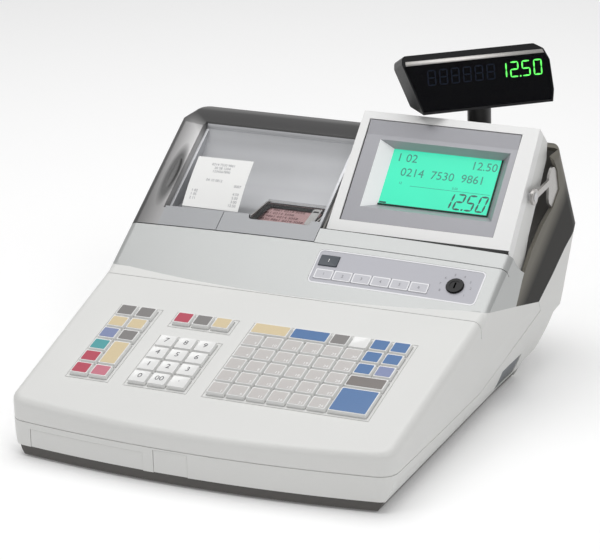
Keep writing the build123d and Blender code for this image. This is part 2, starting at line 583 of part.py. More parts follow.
def knuckle(x0, x1, r):
    return rod_x(back_y, COVER_HINGE_Z, r, x0, x1)


hinge_x0 = REAR_CORNER_R + 2 - HALF_W
static_knuckles = [(hinge_x0, hinge_x0 + 20.0), (-112.0, -92.0), (-28.0, -8.0)]
cover_knuckles = [(hinge_x0 + 20.5, hinge_x0 + 41.0), (-48.0, -28.5)]
pin_bore = knuckle(hinge_x0 - 1, -6, hinge_pin_r + PIN_FIT)
hinge_clear = [knuckle(a - 0.5, b + 0.5, barrel_r + 0.6) for a, b in cover_knuckles]
cover_clear = [knuckle(a - 0.5, b + 0.5, barrel_r + 0.6) for a, b in static_knuckles]
pole_hole = post(POLE_X, POLE_Y, *COLLAR_CUT_Z, COLLAR_R + 0.15)
rear_shell = ((shell & dark_right) - well - pole_hole) + (shell & dark_left)
rear_shell = rear_shell - hinge_clear + [knuckle(a, b, barrel_r) for a, b in static_knuckles]
save("rear_shell", rear_shell - pin_bore)
save("cover_hinge_pin", knuckle(hinge_x0, -7, hinge_pin_r))
trough = rod_x(PIVOT_Y, PIVOT_Z, WELL_R + WELL_WALL, STATIC_X0, HALF_W - WALL) - well
end_plate = rod_x(PIVOT_Y, PIVOT_Z, WELL_R, STATIC_X0, STATIC_X0 + END_T)
pivot_bore = rod_x(PIVOT_Y, PIVOT_Z, PIN_R + PIN_FIT, -FAR, FAR)
collar_room = post(POLE_X, POLE_Y, *COLLAR_CUT_Z, COLLAR_R + 0.3)
display_well = ((trough + end_plate) & inner) - pivot_bore - collar_room
save("display_well", display_well)
boss = rod_x(PIVOT_Y, PIVOT_Z, ARM_R, HALF_W - WALL, HALF_W - 1)
link = prism([(PIVOT_Y, PIVOT_Z + 3), (PIVOT_Y, PIVOT_Z - 3), (ARM_PAD[0][0] + 8, ARM_PAD[0][1] - 8),
              (ARM_PAD[0][0] + 8, ARM_PAD[0][1] - 2)], HALF_W - WALL, HALF_W - 1)
pad = Polygon(*ARM_PAD, align=None)
pad = Plane.YZ.offset(HALF_W - WALL) * fillet(pad.vertices(), ARM_PAD_R)
pad = extrude(pad, amount=WALL - 1, dir=(1, 0, 0))
save("display_bracket", boss + link + pad - dark_right - pivot_bore)

# ---------------------------------------------------------------- operator display
FACE = Plane(origin=(0, *FACE_FOOT), x_dir=(1, 0, 0), z_dir=(0, -sind(FACE_SLOPE), cosd(FACE_SLOPE)))
face_top = (FACE_FOOT[0] + FACE_LEN * cosd(FACE_SLOPE), FACE_FOOT[1] + FACE_LEN * sind(FACE_SLOPE))
crown = (face_top[0] + DISPLAY_CROWN[0], face_top[1] + DISPLAY_CROWN[1])
heel = (PIVOT_Y - HEEL_IN, PIVOT_Z - sqrt(HEEL_R ** 2 - HEEL_IN ** 2))
mid_r = Vector(-1, -1).normalized() * HEEL_R


def display_side(x0, x1, wall):
    arc = ThreePointArc(heel, (PIVOT_Y + mid_r.X, PIVOT_Z + mid_r.Y), FACE_FOOT)
    rest = Polyline(FACE_FOOT, face_top, crown, *DISPLAY_BACK, heel)
    face = make_face(arc + rest)
    if wall:
        face = offset(face, amount=-wall, kind=Kind.INTERSECTION)
    return extrude(Plane.YZ.offset(x0) * face, amount=x1 - x0, dir=(1, 0, 0))


def face_slab(z0, z1):
    return FACE * Pos(0, 0, (z0 + z1) / 2) * Box(3 * FAR, 3 * FAR, z1 - z0)


def face_rect(x0, x1, u0, u1, z):
    return FACE * Pos((x0 + x1) / 2, (u0 + u1) / 2, z) * Rectangle(x1 - x0, u1 - u0)


def face_box(x0, x1, u0, u1, z0, z1):
    return FACE * Pos((x0 + x1) / 2, (u0 + u1) / 2, (z0 + z1) / 2) * Box(x1 - x0, u1 - u0, z1 - z0)


taper_plan = Polygon((DISPLAY_X0 - TAPER_FLARE, -TAPER_RUN), (DISPLAY_X1 + TAPER_FLARE, -TAPER_RUN),
                     (DISPLAY_X1, 0), (DISPLAY_X1 - DISPLAY_TAPER, FACE_LEN),
                     (DISPLAY_X0 + DISPLAY_TAPER / 2, FACE_LEN), (DISPLAY_X0, 0), align=None)
taper_sides = FACE * extrude(taper_plan, FAR / 3, both=True)
block_all = display_side(DISPLAY_X0, DISPLAY_X1, 0) & taper_sides
frame_open = face_box(*BEZEL, -FRAME_T - 1, 5)
left_pin = rod_x(PIVOT_Y, PIVOT_Z, PIN_R, STATIC_X0 + 0.5, DISPLAY_X0 + 9)
right_pin = rod_x(PIVOT_Y, PIVOT_Z, PIN_R, DISPLAY_X1 - 12, HALF_W - 0.5)
save("display_frame", (block_all & face_slab(-FRAME_T, 5)) - frame_open - left_pin - right_pin)
hollow = display_side(DISPLAY_X0 + SHELL_W + 2, DISPLAY_X1 - SHELL_W - 4, SHELL_W)
hollow = hollow & face_box(-FAR, FAR, -FAR, FACE_LEN - SHELL_W, -FAR, FAR)
display_back = (block_all & face_slab(-90, -FRAME_T)) - hollow
save("display_back", display_back - left_pin - right_pin)
save("display_pins", Compound(children=[left_pin, right_pin]))
slack = 0.15


def wider(limits, grow):
    x0, x1, u0, u1 = limits
    return x0 - grow, x1 + grow, u0 - grow, u1 + grow


plate = face_box(*wider(BEZEL, -slack), -BEZEL_SINK - BEZEL_T, -BEZEL_SINK)
throat = loft([face_rect(*THROAT, -BEZEL_SINK + 0.01), face_rect(*LCD, -LCD_DEPTH)])
funnel = loft([face_rect(*wider(THROAT, FUNNEL_WALL), -BEZEL_SINK),
               face_rect(*wider(LCD, FUNNEL_WALL), -LCD_DEPTH)])
save("display_bezel", plate + funnel - throat)
save("lcd_panel", face_box(*wider(LCD, LCD_LAP), -LCD_DEPTH - LCD_T, -LCD_DEPTH))

# ---------------------------------------------------------------- printer cover
curve = [(LEDGE_END_Y + 4, 145.0), (57.0, 141.5), (64.0, 139.8), (80.0, 141.5), (98.0, 151.0), (114.0, 163.0),
         (128.0, 177.0), (138.0, 190.0), (ROOF_EDGE_Y, 199.0)]


def above_recess(x0, x1, sink):
    run = Spline([(y + 0.5 * sink, z - 0.87 * sink) for y, z in curve])
    first, last = [(y + 0.5 * sink, z - 0.87 * sink) for y, z in (curve[0], curve[-1])]
    top = Polyline(last, (last[0] + 2, FAR), (BAND_END_Y - 10, FAR),
                   (BAND_END_Y - 10, band_z(BAND_END_Y) - 30), first)
    face = make_face(run + top)
    return extrude(Plane.YZ.offset(x0) * face, amount=x1 - x0, dir=(1, 0, 0))


recess_x1 = COVER_X1 - RECESS_T
recess_out = above_recess(RECESS_X0, COVER_X1, RECESS_T)
recess_in = above_recess(RECESS_X0 + RECESS_T, recess_x1, 0)
ledge_side = [off_band(BAND_END_Y + COVER_GAP, -20), off_band(BAND_END_Y + COVER_GAP, 40),
              off_band(LEDGE_END_Y, 40), off_band(LEDGE_END_Y, -20)]
ledge_zone = prism(ledge_side, RECESS_X0, COVER_X1)


def rim_corner(grow):
    """Square corner less its round: what is cut away where the arch rolls into the recess (x in, y down)."""
    r = RIM_R
    round_part = ThreePointArc((-r, 0), (-r + r * sind(45), r - r * cosd(45)), (0, r))
    square_part = Polyline((0, r), (grow, r), (grow, -r), (-r, -r), (-r, 0))
    return make_face(round_part + square_part)


along_band = Vector(0, cosd(BAND_SLOPE), sind(BAND_SLOPE))
leg_frame = Plane(origin=Vector(RECESS_X0, BAND_Y, BAND_Z), x_dir=(1, 0, 0), z_dir=along_band)
leg_rim = extrude(leg_frame * rim_corner(2 * RECESS_T), amount=FAR, dir=along_band)
roof_frame = Plane(origin=Vector(0, ROOF_EDGE_Y, ROOF_Z), x_dir=(0, -1, 0), z_dir=(1, 0, 0))
roof_rim = extrude(roof_frame * rim_corner(4 * RIM_R), amount=FAR, dir=(-1, 0, 0), both=True)
mitre = Polygon((RECESS_X0, ROOF_EDGE_Y), (RECESS_X0 - FAR, ROOF_EDGE_Y + FAR), (FAR, ROOF_EDGE_Y + FAR),
                (FAR, -FAR), (RECESS_X0, -FAR), align=None)
mitre = extrude(mitre, amount=FAR, dir=(0, 0, 1))
rim_cut = [roof_rim & mitre & block(-FAR, COVER_X1, -FAR, FAR, 0, FAR),
           (leg_rim & block(-FAR, FAR, LEDGE_END_Y, ROOF_EDGE_Y + FAR, 0, FAR)) - mitre
           + (leg_rim & block(-FAR, FAR, LEDGE_END_Y, ROOF_EDGE_Y, 0, FAR))]
leg_bar = leg_frame * Pos(-RIM_R / 2, RIM_R, 0) * Box(RIM_R, 2 * RIM_R, 4 * FAR)
roof_bar = block(RECESS_X0, COVER_X1, ROOF_EDGE_Y, ROOF_EDGE_Y + RIM_R, ROOF_Z - 2 * RIM_R, ROOF_Z)


def scoop(grow):
    """Finger scoop in the arch's left leg, for lifting the cover."""
    ball = scale(Sphere(1), by=(SCOOP[0] + grow, SCOOP[1] + grow, SCOOP[2] + grow))
    return Pos(SCOOP_X, SCOOP_Y, band_z(SCOOP_Y) + SCOOP_LIFT) * Rot(BAND_SLOPE, 0, 0) * ball


cover_body = outer & cover_region
arch = (cover_body - inner) + (cover_body & leg_bar) + (cover_body & roof_bar) + (cover_body & scoop(WALL))
arch = arch - recess_out - ledge_zone - rim_cut - scoop(0)
cover_recess = ((cover_body & recess_out) - recess_in) - rim_cut - prism(ledge_side, -FAR, FAR)
window_size = (WINDOW_X[1] - WINDOW_X[0], WINDOW_Y[1] - WINDOW_Y[0])
window_mid = ((WINDOW_X[0] + WINDOW_X[1]) / 2, (WINDOW_Y[0] + WINDOW_Y[1]) / 2)
window_plan = RectangleRounded(*window_size, WINDOW_R)
window_hole = Pos(*window_mid, BAND_Z) * extrude(window_plan, amount=ROOF_Z - BAND_Z)
receipt_slot = block(RECEIPT_X - ROLL_W / 2 - 2.5, RECEIPT_X + ROLL_W / 2 + 2.5,
                     LEDGE_END_Y, LEDGE_END_Y + SLOT_W, BAND_Z, ROOF_Z)
cover_recess = cover_recess - window_hole - receipt_slot
save("cover_recess", cover_recess)
arch = arch - cover_clear + [knuckle(a, b, barrel_r) for a, b in cover_knuckles]
save("cover_arch", arch - pin_bore)
front_plate = (cover_body - body(RECESS_T)) & ledge_zone
plate_seam = seam_skin & block(PLATE_SEAM_X - SEAM_W / 2, PLATE_SEAM_X + SEAM_W / 2, -FAR, FAR, 0, FAR)
save("cover_front_plate", front_plate - window_hole - plate_seam)
lens_y0, lens_y1 = WINDOW_Y[0] + 0.3, WINDOW_Y[1] + 1.5
lens = prism([(lens_y0, band_z(lens_y0) - 2.6), (lens_y0, band_z(lens_y0) - 0.8), (lens_y1, LENS_BACK_Z),
              (lens_y1, LENS_BACK_Z - 1.8)], *WINDOW_X)
lens_plan = RectangleRounded(window_size[0] - 0.6, window_size[1] + 2 * WINDOW_R, WINDOW_R)
lens_plan = Pos(window_mid[0], window_mid[1] + WINDOW_R + 0.3, 0) * extrude(lens_plan, amount=FAR)
save("journal_window", (lens & lens_plan) - cover_recess)
sheet = trace(Line((LEDGE_END_Y + 2.6, 147.4), (90.5, 184.3)), PAPER_T)
receipt_paper = extrude(Plane.YZ.offset(RECEIPT_X - ROLL_W / 2) * sheet, amount=ROLL_W, dir=(1, 0, 0))
save("receipt_paper", receipt_paper)

# ---------------------------------------------------------------- printers and paper
chassis = block(*CHASSIS_X, *CHASSIS_Y, CHASSIS_Z, CHASSIS_Z + SHEET_T)
cheeks = [RECEIPT_X - CHEEK_OFF, (RECEIPT_X + JOURNAL_X) / 2, JOURNAL_X + CHEEK_OFF]
for x in cheeks:
    chassis = chassis + prism([(44, CHASSIS_Z), (44, 128), (60, 132), (112, 132), (118, 100), (118, CHASSIS_Z)],
                              x - SHEET_T / 2, x + SHEET_T / 2)
shaft_holes = [rod_x(PLATEN_Y, PLATEN_Z, SHAFT_R + PIN_FIT, -200, 10),
               rod_x(TAKEUP_Y, TAKEUP_Z, SHAFT_R + PIN_FIT, -85, 10)]
save("printer_chassis", chassis - shaft_holes)
cradle = block(cheeks[0] - 3, cheeks[2] + 3, ROLL_Y - 30, ROLL_Y + 26, CHASSIS_Z + SHEET_T, ROLL_Z - 14)
cradle = cradle - rod_x(ROLL_Y, ROLL_Z, ROLL_R + 0.3, cheeks[0] + 4, cheeks[1] - 1)
cradle = cradle - rod_x(ROLL_Y, ROLL_Z, ROLL_R + 0.3, cheeks[1] + 1, cheeks[2] - 4)
save("roll_cradle", cradle)
for name, x in (("receipt", RECEIPT_X), ("journal", JOURNAL_X)):
    roll = rod_x(ROLL_Y, ROLL_Z, ROLL_R, x - ROLL_W / 2, x + ROLL_W / 2)
    save(f"{name}_roll", roll - rod_x(ROLL_Y, ROLL_Z, ROLL_CORE_R, x - ROLL_W, x + ROLL_W))
    roller = rod_x(PLATEN_Y, PLATEN_Z, PLATEN_R, x - ROLL_W / 2 - 1, x + ROLL_W / 2 + 1)
    shaft = rod_x(PLATEN_Y, PLATEN_Z, SHAFT_R, x - CHEEK_OFF + 1.5, x + CHEEK_OFF - 1.5)
    save(f"{name}_platen", roller + shaft)
TAKEUP_W = ROLL_W + 2
takeup = rod_x(TAKEUP_Y, TAKEUP_Z, TAKEUP_R, JOURNAL_X - ROLL_W / 2, JOURNAL_X + ROLL_W / 2)
for side in (-1, 1):
    flange_x = JOURNAL_X + side * (ROLL_W / 2 + 1)
    takeup = takeup + rod_x(TAKEUP_Y, TAKEUP_Z, TAKEUP_R + 2.5, flange_x - 1, flange_x + 1)
takeup = takeup + rod_x(TAKEUP_Y, TAKEUP_Z, SHAFT_R, JOURNAL_X - CHEEK_OFF + 1.5, JOURNAL_X + CHEEK_OFF - 1.5)
save("takeup_spool", takeup)
web_y = PLATEN_Y - PLATEN_R - 0.3 - PAPER_T / 2
bar_y = web_y - PAPER_T / 2 - 0.2
heads = [block(x - ROLL_W / 2 - 3, x + ROLL_W / 2 + 3, bar_y - 5, bar_y, PLATEN_Z - 12, PLATEN_Z + 8)
         for x in (RECEIPT_X, JOURNAL_X)]
head_feet = [block(x - 12, x + 12, bar_y - 4, bar_y, CHASSIS_Z + SHEET_T, PLATEN_Z - 12)
             for x in (RECEIPT_X, JOURNAL_X)]
save("print_heads", Compound(children=[a + b for a, b in zip(heads, head_feet)]))
off_roll = (ROLL_Y - ROLL_R - 0.5, ROLL_Z - 3)
low_run = [off_roll, (86.0, 88.0), (web_y + 4, 94.0), (web_y, 103.0), (web_y, 121.0)]


def web(points, x):
    strip = trace(Polyline(*points), PAPER_T)
    return extrude(Plane.YZ.offset(x - ROLL_W / 2) * strip, amount=ROLL_W, dir=(1, 0, 0))


save("receipt_web", web(low_run + [(LEDGE_END_Y + 2.3, 146.6)], RECEIPT_X))
meets = TAKEUP_R + 0.6
last_run = [(56.0, 139.0), (84.0, 139.0), (TAKEUP_Y + 0.62 * meets, TAKEUP_Z + 0.785 * meets)]
save("journal_web", web(low_run + last_run, JOURNAL_X))

# ---------------------------------------------------------------- customer display
lean_n = Vector(sind(HEAD_TURN) * cosd(HEAD_LEAN), -cosd(HEAD_TURN) * cosd(HEAD_LEAN), sind(HEAD_LEAN))
HEAD = Plane(origin=(POLE_X, POLE_Y, HEAD_Z), x_dir=(cosd(HEAD_TURN), sind(HEAD_TURN), 0), z_dir=lean_n)
head_face = [(-61, -31), (63, -31), (65.5, -20), (65.5, 8), (61, 19), (52, 24.5), (-74, 24.5), (-75, 17)]


def head_block(z0, z1, wall=0.0):
    face = Polygon(*head_face, align=None)
    face = fillet(face.vertices().sort_by(Axis.Y)[2:], HEAD_R)
    if wall:
        face = offset(face, amount=-wall, kind=Kind.INTERSECTION)
    return HEAD * Pos(0, 0, z0) * extrude(face, z1 - z0)


floor_cut = block(-FAR, FAR, -FAR, FAR, HEAD_FLOOR, 2 * FAR)
inner_floor = block(-FAR, FAR, -FAR, FAR, HEAD_FLOOR + SHELL_W, 2 * FAR)
head = head_block(-HEAD_BACK, HEAD_FRONT) & floor_cut
lens_area = HEAD * Pos(-5, LENS_TOP - 30, HEAD_FRONT - LENS_T / 2) * Box(200, 60, LENS_T)
lens_piece = (head_block(HEAD_FRONT - LENS_T, HEAD_FRONT, 1.2) & lens_area) & inner_floor
head_room = head_block(-HEAD_BACK + SHELL_W, HEAD_FRONT - LENS_T, SHELL_W) & inner_floor
socket = post(POLE_X, POLE_Y, HEAD_FLOOR, HEAD_FLOOR + SOCKET_H, POLE_R + 2.5)
pole_room = post(POLE_X, POLE_Y, HEAD_FLOOR - 5, HEAD_FLOOR + SOCKET_H - 2, POLE_R + PIN_FIT)
lens_seat = head_block(HEAD_FRONT - LENS_T, HEAD_FRONT + 1, 1.05)
lens_seat = lens_seat & HEAD * Pos(-5, LENS_TOP + 0.15 - 30, HEAD_FRONT) * Box(200, 60, 2 * LENS_T)
lens_seat = lens_seat & block(-FAR, FAR, -FAR, FAR, HEAD_FLOOR + SHELL_W - 0.15, 2 * FAR)
head = (head - head_room - lens_seat) + (socket & head_block(-HEAD_BACK, HEAD_FRONT)) - pole_room
save("customer_head", head)
save("customer_lens", lens_piece)
vfd = HEAD * Pos(0, -4, HEAD_FRONT - LENS_T - 4) * Box(112, 24, 6)
save("customer_vfd", (vfd & head_room) - socket)
save("customer_pole", post(POLE_X, POLE_Y, POLE_FOOT, HEAD_FLOOR + SOCKET_H - 2.3, POLE_R))
collar = post(POLE_X, POLE_Y, *COLLAR_Z, COLLAR_R) - post(POLE_X, POLE_Y, 0, FAR, POLE_R + PIN_FIT)
save("customer_collar", collar)

# ---------------------------------------------------------------- the part's own frame
# Feet on Z = 0 and the whole box centred on Y = 0.
boxes = [solid.bounding_box() for solids in NODES.values() for solid in solids]
MID_Y = (min(box.min.Y for box in boxes) + max(box.max.Y for box in boxes)) / 2
print(len(NODES), "nodes, drawing frame moved by", round(-MID_Y, 4), RISE)
for name, solids in NODES.items():
    placed = [Pos(0, -MID_Y, RISE) * solid for solid in solids]
    export_step(placed[0] if len(placed) == 1 else Compound(children=placed), f"parts/{name}.step")
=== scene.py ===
# %% [markdown]
# # A ticket register
# The register comes in as a fixed frame of CAD nodes. Every hard shell that already has its true shape keeps
# its mesh and gets a finish, and the small things that the frame only hints at are modelled here: key caps
# with their labels, the figures on the displays, printed lines, the receipt and the journal paper.
# Everything is in metres and stays in the frame's own axes: X runs across the keyboard, Y from the clerk to
# the back, and Z is up.

# %% Load the frame and keep its box
import bpy
import bmesh
import json
import math
from mathutils import Matrix, Vector


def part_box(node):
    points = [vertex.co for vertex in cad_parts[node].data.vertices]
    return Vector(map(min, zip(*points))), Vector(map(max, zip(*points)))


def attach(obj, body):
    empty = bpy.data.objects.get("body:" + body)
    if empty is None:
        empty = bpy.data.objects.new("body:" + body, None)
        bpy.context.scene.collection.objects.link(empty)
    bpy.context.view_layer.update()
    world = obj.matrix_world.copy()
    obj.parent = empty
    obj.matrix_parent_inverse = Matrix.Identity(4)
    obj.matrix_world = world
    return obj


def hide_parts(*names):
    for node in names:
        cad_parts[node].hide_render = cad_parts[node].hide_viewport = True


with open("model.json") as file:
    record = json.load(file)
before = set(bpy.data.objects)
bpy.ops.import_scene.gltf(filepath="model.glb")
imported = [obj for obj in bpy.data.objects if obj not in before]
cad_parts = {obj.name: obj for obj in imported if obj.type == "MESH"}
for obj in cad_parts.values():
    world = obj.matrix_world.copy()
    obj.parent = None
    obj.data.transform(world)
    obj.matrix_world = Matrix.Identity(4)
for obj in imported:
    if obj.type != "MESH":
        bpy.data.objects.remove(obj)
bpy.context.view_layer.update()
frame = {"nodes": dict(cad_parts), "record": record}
MM = 0.001
node_body = {node: body for body, nodes in frame["record"]["behaviour"]["bodies"].items() for node in nodes}

# %% [markdown]
# ## Where things are
# The drawing that the part was made from has its zero on the casing's underside, and the frame has moved it
# to the middle of the whole box. The base tray tells by how much, since its rear edge and its underside are
# known in the drawing. Four sloping surfaces carry all the small pieces, so each gets a matrix of its own: x
# across, y up the slope and z out of the surface.

# %% Give each sloping surface its own matrix
TRAY_REAR_Y = 110.0  # in the drawing, mm
tray_low, tray_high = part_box("base_tray")
DRAWING = Vector((0, tray_high[1] - TRAY_REAR_Y * MM, tray_low[2]))


def sloping(x, y, z, slope, turn=0.0):
    """The matrix of a surface through a point of the drawing, which slopes up to the back."""
    place = Matrix.Translation(DRAWING + Vector((x, y, z)) * MM)
    return place @ Matrix.Rotation(math.radians(turn), 4, "Z") @ Matrix.Rotation(math.radians(slope), 4, "X")


DECK = sloping(0, -23, 103, 15)
BAND = sloping(0, -23, 103, 32)
FACE = sloping(0, 49, 141.3, 45)
HEAD = sloping(102, 183, 258, 65, turn=40)
print("drawing zero", [round(v, 4) for v in DRAWING])

# %% [markdown]
# ## The camera
# The camera stands to the right of the keyboard and above it, far away behind a long lens, so the lines of
# the casing stay almost parallel. Azimuth, elevation and roll turn it.

# %% Place the camera
CAMERA_FROM_DRAWING = (1.1309, -2.3428, 1.0567)
AZIMUTH, ELEVATION, ROLL = 25.74, 20.0, -1.864
LENS_MM, SENSOR_MM = 185.05, 36.0

camera = bpy.data.objects.new("camera", bpy.data.cameras.new("camera"))
camera.data.lens, camera.data.sensor_width = LENS_MM, SENSOR_MM
camera.data.sensor_fit = "HORIZONTAL"
turn = Matrix.Rotation(math.radians(AZIMUTH), 4, "Z") @ Matrix.Rotation(math.radians(90 - ELEVATION), 4, "X")
stand = Matrix.Translation(DRAWING + Vector(CAMERA_FROM_DRAWING))
camera.matrix_world = stand @ turn @ Matrix.Rotation(math.radians(ROLL), 4, "Z")
bpy.context.scene.collection.objects.link(camera)
bpy.context.scene.camera = camera
print("camera", [round(v, 3) for v in camera.location])

# %% [markdown]
# ## The studio
# A plain pale floor, a wide soft light overhead, a smaller one from the right and a weak fill from the left.
# Big lights give the long soft gradients that smooth painted plastic needs to read as round.

# %% Set up floor, world and lights
FLOOR_TONE, FLOOR_SIZE = (0.90, 0.90, 0.90), 12
AIR_LIGHT = 0.33
AIM = Vector((0, 0, 0.1))
LIGHTS = {"overhead": ((-0.2, 0.3, 2.2), 2.2, 36),  # place and size in metres, power in watts
          "from_the_right": ((1.7, -1.1, 1.9), 1.2, 13),
          "from_the_left": ((-2.0, -1.6, 1.3), 1.6, 9)}


def added(primitive, **sizes):
    """A new primitive, added with everything else deselected."""
    bpy.ops.object.select_all(action="DESELECT")
    primitive(**sizes)
    return bpy.context.object


for name, (place, size, power) in LIGHTS.items():
    light = bpy.data.objects.new(name, bpy.data.lights.new(name, "AREA"))
    light.data.size, light.data.energy = size, power
    light.location = place
    light.rotation_euler = (AIM - Vector(place)).to_track_quat("-Z", "Y").to_euler()
    bpy.context.scene.collection.objects.link(light)
world = bpy.data.worlds.new("studio")
world.use_nodes = True
world.node_tree.nodes["Background"].inputs["Color"].default_value = (1, 1, 1, 1)
world.node_tree.nodes["Background"].inputs["Strength"].default_value = AIR_LIGHT
bpy.context.scene.world = world
bpy.context.scene.view_settings.view_transform = "Standard"
floor = added(bpy.ops.mesh.primitive_plane_add, size=FLOOR_SIZE)
floor.name = "floor"
print("lights", list(LIGHTS))

# %% [markdown]
# ## Shader maths as plain expressions
# A material is a graph of nodes, but it reads best as arithmetic. `Wire` wraps one output socket, and each
# operator adds the Math node that it stands for, so `1 - mask * 0.3` builds two nodes. `Finish` holds one
# material, and its `node` method makes any other kind of node.


# %% Wrap sockets and materials
FLAKE, FLAKE_DEPTH = 0.0003, 0.000012  # m, the size of a metal flake and the depth of its bump


class Wire:
    """An output socket that adds, subtracts, multiplies and divides by making Math nodes."""

    def __init__(self, finish, socket):
        self.finish, self.socket = finish, socket

    def math(self, operation, first, second):
        return self.finish.node("ShaderNodeMath", {"operation": operation}, {0: first, 1: second})

    def __add__(self, other):
        return self.math("ADD", self, other)

    def __sub__(self, other):
        return self.math("SUBTRACT", self, other)

    def __rsub__(self, other):
        return self.math("SUBTRACT", other, self)

    def __mul__(self, other):
        return self.math("MULTIPLY", self, other)

    def __truediv__(self, other):
        return self.math("DIVIDE", self, other)

    __radd__ = __add__
    __rmul__ = __mul__


class Finish:
    """One material with a Principled shader, and short ways to feed it."""

    def __init__(self, name, colour, roughness, **fixed):
        self.material = bpy.data.materials.new(name)
        self.material.use_nodes = True
        self.tree = self.material.node_tree
        self.shader = self.tree.nodes["Principled BSDF"]
        self.colour, self.roughness = colour, roughness
        self.set("Base Color", (*colour, 1))
        self.set("Roughness", roughness)
        for socket, value in fixed.items():
            self.set(socket.replace("_", " "), value)

    def set(self, socket, value):
        """A number or colour that is the same all over goes on the shader's own socket."""
        if isinstance(value, Wire):
            self.tree.links.new(value.socket, self.shader.inputs[socket])
        else:
            self.shader.inputs[socket].default_value = value

    def node(self, kind, settings=None, values=None, output=0):
        """Any node: its settings first, then the values or links of its sockets."""
        made = self.tree.nodes.new(kind)
        for name, value in (settings or {}).items():
            setattr(made, name, value)
        for name, value in (values or {}).items():
            if isinstance(value, Wire):
                self.tree.links.new(value.socket, made.inputs[name])
            else:
                made.inputs[name].default_value = value
        return Wire(self, made.outputs[output])

    def place(self):
        return self.node("ShaderNodeTexCoord", output="Object")

    def in_drawing(self, axis):
        """How far along one axis of the drawing a point of the surface lies, in millimetres."""
        along = self.node("ShaderNodeSeparateXYZ", values={0: self.place()}, output=axis)
        return (along - DRAWING[axis]) / MM

    def noise(self, size, detail=2.0, stretch=None):
        """Soft noise whose blotches are about size metres across, stretched where asked."""
        where = self.place()
        if stretch:
            where = self.node("ShaderNodeMapping", values={"Vector": where, "Scale": stretch})
        return self.node("ShaderNodeTexNoise", values={"Vector": where, "Scale": 1 / size, "Detail": detail})

    def shades(self, mask, low, high):
        """The colour mixed from low times itself to high times itself, as the mask goes from 0 to 1."""
        ends = [tuple(min(1.0, channel * share) for channel in self.colour) + (1,) for share in (low, high)]
        return self.node("ShaderNodeMix", {"data_type": "RGBA"}, {0: mask, 6: ends[0], 7: ends[1]}, output=2)

    def bump(self, height, depth):
        return self.node("ShaderNodeBump", values={"Height": height, "Distance": depth, "Strength": 1.0})

    def flakes(self):
        """Metal flakes, which also make the shine sparkle a little."""
        fine = self.noise(FLAKE, 0.0)
        self.set("Roughness", fine * 0.12 + (self.roughness - 0.06))
        return fine


def within(value):
    """A value held between 0 and 1."""
    return value.math("MINIMUM", value.math("MAXIMUM", value, 0.0), 1.0)


print("shader helpers ready")

# %% [markdown]
# ## Moulded casing plastic
# The light casing is moulded ABS: matt, with a fine spark-eroded grain well under a millimetre, and a faint
# uneven tone over a hand's width. The grain is bump and a touch of roughness, and both come from noise on
# Object coordinates, so it runs unbroken from one shell to the next.


# %% Make moulded and painted plastics
def moulded(name, colour, roughness=0.42, grain=0.00045, depth=0.00003, spread=0.03, **fixed):
    """Moulded plastic: fine grain, uneven tone over a hand's width, slightly uneven shine."""
    made = Finish(name, colour, roughness, **fixed)
    tone = made.noise(0.09, 3.0)
    fine = made.noise(grain, 1.0)
    made.set("Base Color", made.shades(tone, 1 - spread, 1 + spread))
    made.set("Roughness", fine * 0.08 + tone * 0.06 + (roughness - 0.07))
    made.set("Normal", made.bump(fine, depth))
    return made.material


def metallic_paint(name, colour, metallic, roughness=0.34):
    """Silver paint: metal flakes in a clear binder, under a thin satin coat."""
    made = Finish(name, colour, roughness, Metallic=metallic)
    tone = made.noise(0.11, 2.0)
    flakes = made.flakes()
    made.set("Base Color", made.shades(flakes * 0.6 + tone * 0.4, 0.90, 1.10))
    made.set("Normal", made.bump(flakes, FLAKE_DEPTH))
    return made.material


print("plastics and paints ready")

# %% [markdown]
# ## Inks, labels, glass and lit parts
# Printed labels are paper behind clear plastic: a satin coat over a flat tone with a little mottle. The
# liquid crystal panel is lit from behind through a diffuser, so it glows evenly with a faint uneven cloud.
# The customer display's figures glow on their own, and the ones that are off are barely lighter than the
# glass.


# %% Make the printed, glowing and clear finishes
def printed(name, colour, coat=0.35, **fixed):
    """Ink or a printed label under clear plastic."""
    made = Finish(name, colour, 0.35, Coat_Weight=coat, Coat_Roughness=0.12, **fixed)
    mottle = made.noise(0.0016, 2.0)
    made.set("Base Color", made.shades(mottle, 0.95, 1.05))
    return made.material


def glowing(name, colour, strength, size=0.05):
    """A lit surface whose glow is a little uneven, as behind a diffuser."""
    made = Finish(name, colour, 0.3)
    cloud = made.noise(size, 1.0)
    made.set("Base Color", made.shades(cloud, 0.425, 0.5))
    made.set("Emission Color", made.shades(cloud, 0.85, 1.0))
    made.set("Emission Strength", strength)
    return made.material


def clear(name, colour, alpha, roughness=0.08, **fixed):
    """A clear or tinted cover: mostly see-through, with its own shine and faint smears."""
    made = Finish(name, colour, roughness, **fixed)
    smear = made.noise(0.03, 2.0, stretch=(1, 1, 3))
    made.set("Roughness", smear * 0.08 + (roughness - 0.03))
    made.set("Alpha", smear * 0.04 + (alpha - 0.02))
    return made.material


def brushed(name, colour, roughness=0.3):
    """Plated or brushed metal, with fine lines along x."""
    made = Finish(name, colour, roughness, Metallic=1.0)
    lines = made.noise(0.02, 2.0, stretch=(1, 60, 60))
    made.set("Base Color", made.shades(lines, 0.88, 1.08))
    made.set("Roughness", lines * 0.15 + (roughness - 0.07))
    made.set("Normal", made.bump(lines, 0.00001))
    return made.material


print("inks, glows, glass and metal ready")

# %% [markdown]
# ## The finishes
# Most finishes are named after the slot of the CAD nodes that wear them, and the others after what they are
# on the register. Colours are linear shares of red, green and blue, so they look darker here than they come
# out.

